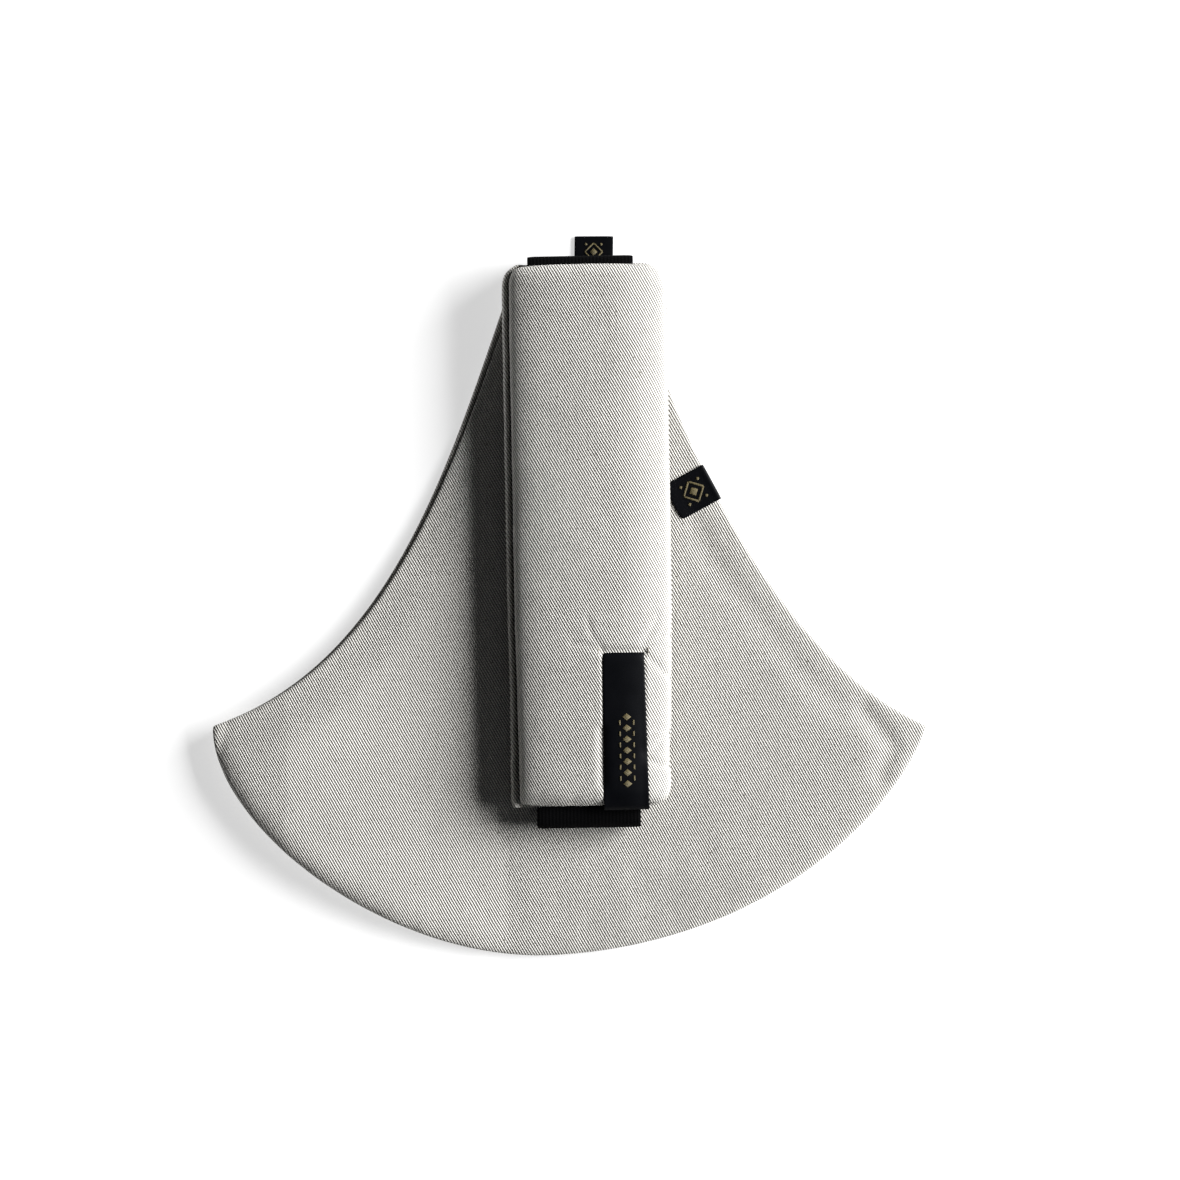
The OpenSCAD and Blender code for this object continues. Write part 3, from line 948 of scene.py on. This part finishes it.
def ring_loop():
    """The strap's end, turned round the ring's inner bar."""
    radius = 2.3 * MM
    start = ring_inner_y - 11.5 * MM
    path = straight((start, ring_z - radius), (ring_inner_y, ring_z - radius), 2 * MM)
    path += arc((ring_inner_y, ring_z), radius, -90, 90, 12)
    path += [(ring_inner_y - d * MM, ring_z + radius) for d in (2, 4, 6, 8, 10, 11.5)]
    return ribbon("strap_ring_loop_webbing", path, WEB_W, WEB_T)


def ring_anchor():
    """The front flap's webbing, turned round the ring's outer bar, where the ring pivots."""
    radius = 3.8 * MM
    outer_y, low = ring_pivot.y, ring_z - radius
    path = straight((outer_y - 43 * MM, low), (outer_y - 2 * MM, low), 3 * MM)
    path += arc((outer_y, ring_z), radius, -95, 235, 26)
    return ribbon("ring_anchor_webbing", path, WEB_W, WEB_T)


bar_y = (bar_low.y + bar_high.y) / 2
bar_z = (bar_low.z + bar_high.z) / 2


def adjuster_wrap():
    """The strap's free end, turned round the adjuster's bar."""
    radius = 1.95 * MM
    path = [(bar_y + d * MM, bar_z + 0.75 * MM) for d in (32, 28, 24, 20, 16, 12, 8, 4)]
    path += [(bar_y + 1.6 * MM, bar_z + 0.7 * MM - 0.9 * MM)]
    path += arc((bar_y, bar_z), radius, -20, -270, 18)
    path += [(bar_y + d * MM, bar_z + radius) for d in (2, 6, 10, 14, 18, 21.5)]
    return ribbon("strap_end_webbing", path, WEB_W - 0.6 * MM, WEB_T * 0.95)


loop = dress(ring_loop(), webbing)
mount(loop, "ring", "webbing", "strap_ring_loop")

anchor = dress(ring_anchor(), webbing)
mount(anchor, "front_flap", "webbing", "ring_webbing")

wrap = dress(adjuster_wrap(), webbing)
mount(wrap, "adjuster", "webbing", "strap_end")

# ---------------------------------------------------------------- shoulder pad

pad_top = 198 * MM
pad_bottom = -126 * MM
pad_left = -43.5 * MM
pad_right = 52.5 * MM
pad_base = pad_back_high.z
pad_crown = cover_high.z
# The face is highest right of the middle: it falls gently to the left seam, and rounds over on the right
PAD_CREST = 18 * MM
LEFT_FALL, RIGHT_FALL = 1.2, 4.6
LEFT_POWER, RIGHT_POWER = 8.0, 5.5


def end_share(y, radius):
    """Fullness of the pad near its ends: 0 at an end, 1 from radius on."""
    return rise(min(pad_top - y, y - pad_bottom), radius)


def pad_edge(y):
    """The pad's left and right sides at a place along it: rounded corners, and a narrower lower end."""
    lower = smooth(-0.02, 0.126, -y)
    left = pad_left + 1.5 * MM * lower
    right = pad_right - 2.2 * MM * lower
    top_gap, low_gap = pad_top - y, y - pad_bottom
    left += 9 * MM * (1 - rise(top_gap, 14 * MM)) + 1.5 * MM * (1 - rise(low_gap, 4 * MM))
    right -= 12 * MM * (1 - rise(top_gap, 18 * MM)) + 9 * MM * (1 - rise(low_gap, 15 * MM))
    right -= 1.2 * MM * hill(y + 0.094, 0.010)
    return left, right


def pad_section(y, shrink, count=44):
    """Cross-section of the pad at a place along it, with its length round the face from the middle."""
    left, right = pad_edge(y)
    middle, half = (left + right) / 2, (right - left) / 2 - shrink
    tall = (pad_crown - pad_base - shrink) * (0.35 + 0.65 * end_share(y, 9 * MM))
    ends = 1 - np.linspace(0, 0.25, 60) ** 3
    shares = np.unique(np.concatenate([np.linspace(-1, 1, 201), ends, -ends]))
    power = np.where(shares < 0, LEFT_POWER, RIGHT_POWER)
    x = middle + half * shares
    slope = np.where(x < PAD_CREST, LEFT_FALL, RIGHT_FALL)
    floor = np.where(shares < 0, 0.8 * MM, 2.2 * MM)
    crown = (1 - np.abs(shares) ** power) ** (1 / power)
    z = pad_base + floor + (tall - floor - slope * (x - PAD_CREST) ** 2) * crown
    lengths = np.concatenate([[0], np.cumsum(np.hypot(np.diff(x), np.diff(z)))])
    stops = np.linspace(0, lengths[-1], count + 1)
    points = list(zip(np.interp(stops, lengths, x), np.interp(stops, lengths, z)))
    along = list(stops - np.interp(0, x, lengths))
    for k in range(1, 12):
        t = k / 12
        points.append((middle + half * (1 - 2 * t) * 0.97, pad_base + 0.25 * MM))
        along.append(points[-1][0])
    return points, along


def pad_form(name, shrink, step=4 * MM):
    """Closed form of the pad, made of cross-sections a few millimetres apart."""
    total = pad_top - pad_bottom - 2 * shrink
    count = int(total / step)
    rings, uvs = [], []
    for i in range(count + 1):
        share = i / count
        edge = 0.5 - 0.5 * math.cos(math.pi * share)
        y = pad_bottom + shrink + total * (0.75 * share + 0.25 * edge)
        section, along = pad_section(y, shrink)
        rings.append([on_strap(x, y, z) for x, z in section])
        uvs.append([(length, y) for length in along])
    return loft(name, rings, uvs)


# The simulation's frames, and how often its result is evened out over neighbouring points
SWELL_FRAMES = 20
SMOOTH_STEPS = 20


def swell(obj, pressure, cap, pinned):
    """Inflates a closed cloth form by simulation: points move outwards only, and no further than cap."""
    start = np.array([v.co for v in obj.data.vertices])
    group = obj.vertex_groups.new(name="pinned")
    group.add([i for i, p in enumerate(start) if pinned(p)], 1.0, "REPLACE")
    cloth = obj.modifiers.new("Cloth", "CLOTH")
    settings = cloth.settings
    settings.quality = 6
    settings.mass = 0.3
    settings.tension_stiffness = 25
    settings.compression_stiffness = 25
    settings.bending_stiffness = 1.5
    settings.use_pressure = True
    settings.uniform_pressure_force = pressure
    settings.effector_weights.gravity = 0
    settings.vertex_group_mass = "pinned"
    scene = bpy.context.scene
    cloth.point_cache.frame_start = 1
    cloth.point_cache.frame_end = SWELL_FRAMES
    for number in range(1, SWELL_FRAMES + 1):
        scene.frame_set(number)
    graph = bpy.context.evaluated_depsgraph_get()
    moved = np.array([v.co for v in obj.evaluated_get(graph).data.vertices])
    obj.modifiers.remove(cloth)
    scene.frame_set(1)
    shift = moved - start
    normals = np.array([v.normal for v in obj.data.vertices])
    outward = np.clip((shift * normals).sum(axis=1), 0, cap)
    edges = np.array([e.vertices[:] for e in obj.data.edges])
    ends = np.concatenate([edges, edges[:, ::-1]])
    count = np.bincount(ends[:, 0], minlength=len(start))
    for _ in range(SMOOTH_STEPS):
        outward = (outward + np.bincount(ends[:, 0], outward[ends[:, 1]], len(start)) / count) / 2
    shift = normals * outward[:, None]
    for vertex, place in zip(obj.data.vertices, start + shift):
        vertex.co = place
    obj.vertex_groups.clear()
    return obj


# Creases of the pad's face, mostly where the band pulls at the cover: a line across and along
# the strap, a width and a depth, all in millimetres
PAD_CREASES = [
    ([(36.5, -30), (45, -26), (52, -24)], 1.6, 0.7),
    ([(36, -36), (44, -44), (50, -50)], 2.2, 0.7),
    ([(35.5, -94), (42, -90), (49, -82)], 2.4, 0.9),
    ([(36, -98), (44, -101), (51, -103)], 2.0, 0.7),
    ([(8.2, -80), (8.0, -96), (8.4, -112)], 2.6, 1.1),
    ([(8.0, -33), (0, -29), (-8, -28)], 2.4, 0.45),
    ([(9, -31), (3, -22), (1, -14)], 2.2, 0.4),
    ([(34, -29), (40, -20), (43, -13)], 2.2, 0.45),
    ([(-10, -126), (-8, -117), (-2, -110)], 2.6, 0.2),
]
PAD_CREASES = [
    ([(x * MM, y * MM) for x, y in line], width * MM, depth * MM) for line, width, depth in PAD_CREASES
]
# The slit that the band comes out of
SLIT_Y = -33 * MM
SLIT_SIDE = 14.7 * MM


def crease_pad(obj):
    """Gives the swollen cover its small dents, lazy waves and the creases round the band."""
    mesh = obj.data
    normals = [v.normal.copy() for v in mesh.vertices]
    for vertex, normal in zip(mesh.vertices, normals):
        if vertex.co.z < pad_base + 2 * MM:
            continue
        x, y = across_strap(vertex.co)
        dent = -0.30 * MM * wander(x, y, 0.030, 21.0) - 0.10 * MM * wander(x, y, 0.011, 22.0)
        dent -= 0.14 * MM * wander(x * 0.4, y * 3, 0.03, 23.0)
        for line, width, depth in PAD_CREASES:
            dent += depth * hill(line_distance(line, x, y), width)
        near_slit = hill(y - SLIT_Y, 2.2 * MM) * (1 - smooth(0.012, 0.016, abs(x - BAND_X)))
        dent += 1.3 * MM * near_slit
        under_band = (1 - smooth(0.0115, 0.0145, abs(x - BAND_X))) * (1 - smooth(-0.036, -0.031, y))
        dent += 0.8 * MM * under_band
        vertex.co -= normal * dent
    return obj


def pad_cover():
    """Face of the pad, swollen by its filling and then creased."""
    cover = pad_form("pad_face_cover", 1.2 * MM)
    swell(cover, pressure=4.0, cap=0.9 * MM, pinned=lambda p: p[2] < pad_base + 1.5 * MM)
    subdivide(cover, 2)
    return crease_pad(cover)


cover = dress(pad_cover(), canvas)
mount(cover, "pad", "canvas", "pad_cover_front")


def pad_back():
    """Back of the pad's cover. On the left its seam with the face stands out as a rolled edge."""
    rows, columns = 90, 44

    def place(i, j):
        y = pad_top + (pad_bottom - pad_top) * i / (rows - 1)
        left, right = pad_edge(y)
        outer = left - SEAM_EDGE * (0.80 + 0.28 * smooth(0.05, 0.126, -y))
        outer += 0.25 * MM * wander(y, 0.0, 0.012, 31.0)
        x = outer + (right - 0.6 * MM - outer) * (j / (columns - 1)) ** 1.6
        gap = x - outer
        lumps = 1 + 0.10 * wander(y, 0.0, 0.0035, 32.0)
        z_top = max(pad_base - 0.1 * MM, pad_back_low.z + 6.2 * MM * half_round(gap, SEAM_EDGE) * lumps)
        z_low = pad_back_low.z + 0.5 * MM * (1 - rise(gap, 2 * MM)) + 0.3 * MM * (1 - rise(right - x, 3 * MM))
        return on_strap(x, y, z_top), on_strap(x, y, z_low), (x, y)

    return solid_from("pad_back_cover", rows, columns, place, levels=2)


pad_under = dress(pad_back(), canvas)
mount(pad_under, "pad", "canvas", "pad_cover_back")

# ---------------------------------------------------------------- band over the pad


def keeper_band(tree):
    """Band that comes out of the slit, lies on the pad and goes down its lower end."""
    rows, lanes, rows_down = 46, 13, 8
    last_on_face = rows - rows_down - 1
    start, end = -32.5 * MM, pad_bottom - 1.6 * MM

    def place(i, j):
        t = min(i / last_on_face, 1.0)
        y = start + (end - start) * t
        share = 2 * j / (lanes - 1) - 1
        x = BAND_X + 0.5 * MM * t + (12.3 + 1.2 * t) * MM * share
        px, py, _ = on_strap(x, y, 0)
        inner = on_strap(x, max(y, pad_bottom + 5 * MM), 0)
        height = height_on(tree, inner[0], inner[1], pad_base)
        tuck = 2.6 * MM * smooth(start - 3 * MM, start + 0.5 * MM, y)
        droop = 3.2 * MM * (1 - rise(y - end, 6 * MM))
        fall = max(0, i - last_on_face) * 1.1 * MM
        z = height + 0.25 * MM - tuck - droop - fall
        edge = 0.2 * MM * smooth(0.8, 1.0, abs(share))
        under = on_strap(x, y + BAND_T * 0.8, 0) if fall else (px, py)
        return (px, py, z + BAND_T * 0.75 - edge), (under[0], under[1], z), (x, y - fall)

    return solid_from("keeper_band_strip", rows, lanes, place)


face_tree = surface_of(cover)
band = dress(keeper_band(face_tree), satin)
mount(band, "pad", "label_satin", "keeper_band")

# ---------------------------------------------------------------- foam inside the pad


def foam_slab(name, low, high, shrink):
    """Cut foam between two levels: its sides follow the cover, and its corners are eased."""
    rows, columns = 60, 22

    def place(i, j):
        y = pad_top - shrink + (pad_bottom - pad_top + 2 * shrink) * i / (rows - 1)
        left, right = pad_edge(y)
        share = 2 * j / (columns - 1) - 1
        x = (left + right) / 2 + ((right - left) / 2 - shrink) * share
        crown = (1 - abs(share) ** PAD_POWER) ** (1 / PAD_POWER)
        room = pad_base + (pad_crown - pad_base - shrink) * (0.3 + 0.7 * end_share(y, 12 * MM)) * crown
        z_top = max(low + 1.2 * MM, min(high, room)) + 0.15 * MM * wander(x, y, 0.014, 41.0)
        z_low = low + 0.1 * MM * wander(x, y, 0.02, 42.0)
        return on_strap(x, y, z_top), on_strap(x, y, z_low), (x, y)

    return solid_from(name, rows, columns, place)


FOAM_LEVELS = (
    ("pad_foam_lower", lower_foam_low.z + 0.2 * MM, lower_foam_high.z - 0.3 * MM, 6 * MM),
    ("pad_foam_upper", upper_foam_low.z + 0.3 * MM, upper_foam_high.z - 3 * MM, 12 * MM),
)
for node, low, high, shrink in FOAM_LEVELS:
    slab = dress(foam_slab(node + "_slab", low, high, shrink), foam)
    mount(slab, "pad", "foam", node)

# ---------------------------------------------------------------- labels with a plain gold motif


LABEL_T = 0.45 * MM
MOTIF_GAP = 0.02 * MM
MOTIF_T = 0.22 * MM


def label_ribbon(name, path, width, frame_of):
    """A label's thin ribbon, in axes of its own."""
    return ribbon(name, path, width, LABEL_T, frame_of=frame_of, lanes=9)


def motif(name, centre, turn, size, label, fallback, shapes):
    """Gold stitched figures on a label. Each shape is an outline, which lies on it as a low pad."""
    tree = surface_of(label)
    points, faces, uvs = [], [], []
    for outline in shapes:
        start, count = len(points), len(outline)
        middle = np.mean(np.array(outline), axis=0)
        for level, scale in ((0.0, 1.0), (MOTIF_T, 0.86)):
            for px, py in outline:
                x = (middle[0] + (px - middle[0]) * scale) * size
                y = (middle[1] + (py - middle[1]) * scale) * size
                wx = centre[0] + x * math.cos(turn) - y * math.sin(turn)
                wy = centre[1] + x * math.sin(turn) + y * math.cos(turn)
                points.append((wx, wy, height_on(tree, wx, wy, fallback) + MOTIF_GAP + level))
                uvs.append((x, y))
        faces.append(tuple(range(start + count, start + 2 * count)))
        faces.append(tuple(range(start + count - 1, start - 1, -1)))
        for j in range(count):
            k = (j + 1) % count
            faces.append((start + j, start + k, start + count + k, start + count + j))
    return dress(make_object(name, points, faces, uvs), gold_thread)


def lozenge(x, y, half_w, half_h):
    return [(x - half_w, y), (x, y - half_h), (x + half_w, y), (x, y + half_h)]


def bar(x0, y0, x1, y1, width):
    """A narrow bar between two points."""
    dx, dy = x1 - x0, y1 - y0
    length = math.hypot(dx, dy)
    nx, ny = -dy / length * width / 2, dx / length * width / 2
    return [(x0 + nx, y0 + ny), (x0 - nx, y0 - ny), (x1 - nx, y1 - ny), (x1 + nx, y1 + ny)]


def woven_mark():
    """A lozenge in a square frame of bars, with a small lozenge at each side."""
    shapes = [lozenge(0, 0, 0.42, 0.42)]
    for a, b in (((-1, 0), (0, 1)), ((0, 1), (1, 0)), ((1, 0), (0, -1)), ((0, -1), (-1, 0))):
        shapes.append(bar(a[0] * 0.95, a[1] * 0.95, b[0] * 0.95, b[1] * 0.95, 0.16))
    shapes += [lozenge(sx * 0.82, sy * 0.82, 0.17, 0.17) for sx in (-1, 1) for sy in (-1, 1)]
    return shapes


neck_label_x = (neck_label_low.x + neck_label_high.x) / 2


def neck_tab():
    """Folded label that stands out of the end of the neck."""
    low, high = neck_label_low.z + 0.25 * MM, neck_label_high.z - 0.3 * MM
    end = neck_label_high.y - 0.7 * MM
    path = straight((neck_label_low.y - 3 * MM, high), (end, high), 2.2 * MM)
    path += arc((end, (low + high) / 2), (high - low) / 2, 90, -90, 8)
    path += [(end - d * MM, low) for d in (2, 5, 9, 13, 17, 20)]

    def place(x, y, z):
        return (neck_label_x + x + 0.012 * (y - neck_label_low.y), y, z + 0.25 * MM * math.sin(x * 190))

    return label_ribbon("neck_label_tab", path, neck_label_high.x - neck_label_low.x, place)


neck_tab_piece = dress(neck_tab(), satin)
mount(neck_tab_piece, "seat", "label_satin", "neck_label")
neck_mark_place = (neck_label_x, neck_label_high.y - 9.5 * MM)
neck_mark = motif(
    "neck_label_motif", neck_mark_place, 0.0, 5.6 * MM, neck_tab_piece, neck_label_high.z, woven_mark()
)
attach(neck_mark, "seat")

side_centre = (side_label_low + side_label_high) / 2
SIDE_TURN = math.radians(28.5)
SIDE_LENGTH, SIDE_WIDTH = 27 * MM, 23.5 * MM
front_tree = surface_of(front)


def side_frame(x, y, z):
    """The side label's own axes: y runs outwards across the rim."""
    return (
        side_centre.x + y * math.cos(SIDE_TURN) - x * math.sin(SIDE_TURN),
        side_centre.y + y * math.sin(SIDE_TURN) + x * math.cos(SIDE_TURN),
        z,
    )


def side_tab():
    """Label sewn on the front's right rim and folded over it. It lies on the cloth."""
    half = SIDE_LENGTH / 2
    path = []
    for k in range(12):
        y = -half + (SIDE_LENGTH - 1.2 * MM) * k / 11
        wx, wy, _ = side_frame(0, y, 0)
        fallback = path[-1][1] if path else front_top
        path.append((y, height_on(front_tree, wx, wy, fallback) + 0.5 * MM))
    last = path[-1][1]
    path += [(half - 0.3 * MM, last - 0.5 * MM), (half, last - 1.4 * MM), (half - 0.2 * MM, last - 2.4 * MM)]
    path += [(half - 1.2 * MM, front_bottom - 0.3 * MM), (half - 4 * MM, front_bottom - 0.35 * MM)]
    return label_ribbon("side_label_fold", path, SIDE_WIDTH, side_frame)


side = dress(side_tab(), satin)
mount(side, "front_flap", "label_satin", "side_label_tab")
side_mark_place = (side_centre.x + 0.8 * MM, side_centre.y + 0.4 * MM)
side_mark = motif(
    "side_label_motif", side_mark_place, SIDE_TURN, 7.0 * MM, side, front_top + MM, woven_mark()
)
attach(side_mark, "front_flap")


def band_column():
    """A column of lozenges and short bars along the band."""
    shapes = []
    for k in range(7):
        y = -3 + k
        shapes.append(lozenge(0, y, 0.42, 0.34))
        if k < 6:
            shapes += [bar(side * 0.62, y + 0.28, side * 0.62, y + 0.72, 0.16) for side in (-1, 1)]
    return shapes


band_middle = on_strap(BAND_X + 1.2 * MM, -92 * MM, 0)
band_mark = motif("band_motif", band_middle[:2], TILT, 6.6 * MM, band, pad_crown, band_column())
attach(band_mark, "pad")

# ---------------------------------------------------------------- bartacks: close zigzags of thread


def bartacks(name, node, body, tacks, thread, slot):
    """Zigzag tacks as fine thread tubes. Each is a centre across and along, a size, and a level or
    a function that gives one."""
    sides, radius, strokes = 6, 0.24 * MM, 34
    points, faces, uvs = [], [], []
    for x, y, size_x, size_y, level in tacks:
        line = []
        for k in range(strokes + 1):
            t = k / strokes - 0.5
            swing = (1 if k % 2 else -1) * 0.5
            if size_x > size_y:
                line.append((x + size_x * t, y + size_y * swing))
            else:
                line.append((x + size_x * swing, y + size_y * t))
        start = len(points)
        for k, (px, py) in enumerate(line):
            before, after = line[max(k - 1, 0)], line[min(k + 1, len(line) - 1)]
            dx, dy = after[0] - before[0], after[1] - before[1]
            length = math.hypot(dx, dy)
            for s in range(sides):
                a = 2 * math.pi * s / sides
                out = radius * math.cos(a)
                wx, wy, _ = on_strap(px - dy / length * out, py + dx / length * out, 0)
                top = level(wx, wy) if callable(level) else level
                points.append((wx, wy, top + radius * (1 + math.sin(a))))
                uvs.append((out, k * MM))
        for k in range(len(line) - 1):
            for s in range(sides):
                a, b = start + k * sides, start + (k + 1) * sides
                faces.append((a + s, a + (s + 1) % sides, b + (s + 1) % sides, b + s))
        faces.append(tuple(start + s for s in range(sides - 1, -1, -1)))
        faces.append(tuple(len(points) - sides + s for s in range(sides)))
    mount(dress(subdivide(make_object(name, points, faces, uvs)), thread), body, slot, node)


def on_face(x, y):
    """The level of a tack that is sewn into the pad's face."""
    return height_on(face_tree, x, y, pad_crown) - 0.15 * MM


def tack_row(y, level):
    """Three tacks side by side across the strap."""
    return [(x, y, 12 * MM, 2 * MM, level) for x in (-20 * MM, 0.0, 20 * MM)]


def slit_tacks():
    """A tack at each end of the band's slit."""
    return [(BAND_X + side * SLIT_SIDE, SLIT_Y, 1.6 * MM, 3.4 * MM, on_face) for side in (-1, 1)]


neck_rows = [tack_row(ring_pivot.y + gap, neck_level + half_t) for gap in (9 * MM, 27 * MM)]
neck_tacks = [tack for pair in zip(*neck_rows) for tack in pair]
ring_tacks = tack_row(ring_pivot.y - 41 * MM, front_top + WEB_T)
end_tacks = tack_row(bar_y + 27 * MM, end_tack_bottom)

black = (black_thread, "black_thread")
bartacks("neck_tack_stitches", "neck_bartacks", "seat", neck_tacks, *black)
bartacks("ring_tack_stitches", "ring_bartacks", "front_flap", ring_tacks, *black)
bartacks("strap_end_tack_stitches", "strap_end_bartacks", "adjuster", end_tacks, *black)
bartacks("band_tack_stitches", "band_bartacks", "pad", slit_tacks(), ecru_thread, "ecru_thread")

# ---------------------------------------------------------------- hardware keeps its CAD shape

for node in ("neck_ring", "adjuster_frame", "adjuster_bar"):
    dress(frame["nodes"][node], steel)

# ---------------------------------------------------------------- floor, light and camera


def add_floor():
    """A large sheet of grey paper that glows a little, so that it stays even under one light."""
    size = 9.0
    mesh = bpy.data.meshes.new("floor")
    corners = [(-size, -size, 0), (size, -size, 0), (size, size, 0), (-size, size, 0)]
    mesh.from_pydata(corners, [], [(0, 1, 2, 3)])
    floor = add_object("floor", mesh)
    floor.location.z = -0.05 * MM
    g = Graph("floor_paper")
    place = g.add("ShaderNodeTexCoord").outputs["Object"]
    faint = g.noise(place, 6.0, 2)
    g.finish(g.mix(faint, (0.60, 0.60, 0.60, 1), (0.63, 0.63, 0.63, 1)), 0.9, Emission_Strength=0.6)
    floor.data.materials.append(g.material)


def add_light(name, place, target, size, power):
    data = bpy.data.lights.new(name, "AREA")
    data.shape = "RECTANGLE"
    data.size, data.size_y = size
    data.energy = power
    light = add_object(name, data)
    light.location = place
    light.rotation_euler = (Vector(target) - Vector(place)).to_track_quat("-Z", "Y").to_euler()


def add_world():
    """Faint fill light, and plain white where the camera sees past the floor."""
    world = bpy.data.worlds.new("studio")
    world.use_nodes = True
    nodes, links = world.node_tree.nodes, world.node_tree.links
    nodes.clear()
    output = nodes.new("ShaderNodeOutputWorld")
    blend = nodes.new("ShaderNodeMixShader")
    path = nodes.new("ShaderNodeLightPath")
    fill, plain = nodes.new("ShaderNodeBackground"), nodes.new("ShaderNodeBackground")
    fill.inputs[0].default_value = (0.95, 0.97, 1.0, 1)
    fill.inputs[1].default_value = 0.045
    plain.inputs[0].default_value = (1, 1, 1, 1)
    plain.inputs[1].default_value = 1.0
    links.new(path.outputs["Is Camera Ray"], blend.inputs[0])
    links.new(fill.outputs[0], blend.inputs[1])
    links.new(plain.outputs[0], blend.inputs[2])
    links.new(blend.outputs[0], output.inputs[0])
    bpy.context.scene.world = world


def add_camera():
    data = bpy.data.cameras.new("camera")
    data.lens = LENS
    data.sensor_width = SENSOR
    camera = add_object("camera", data)
    camera.location = (*VIEW_CENTRE, front_top + VIEW_WIDTH * LENS / SENSOR)
    bpy.context.scene.camera = camera


add_floor()
add_light("window", (3.6, 0.9, 1.6), (0.0, 0.0, 0.0), (3.4, 2.0), 470)
add_world()
add_camera()
bpy.context.scene.view_settings.view_transform = "Standard"
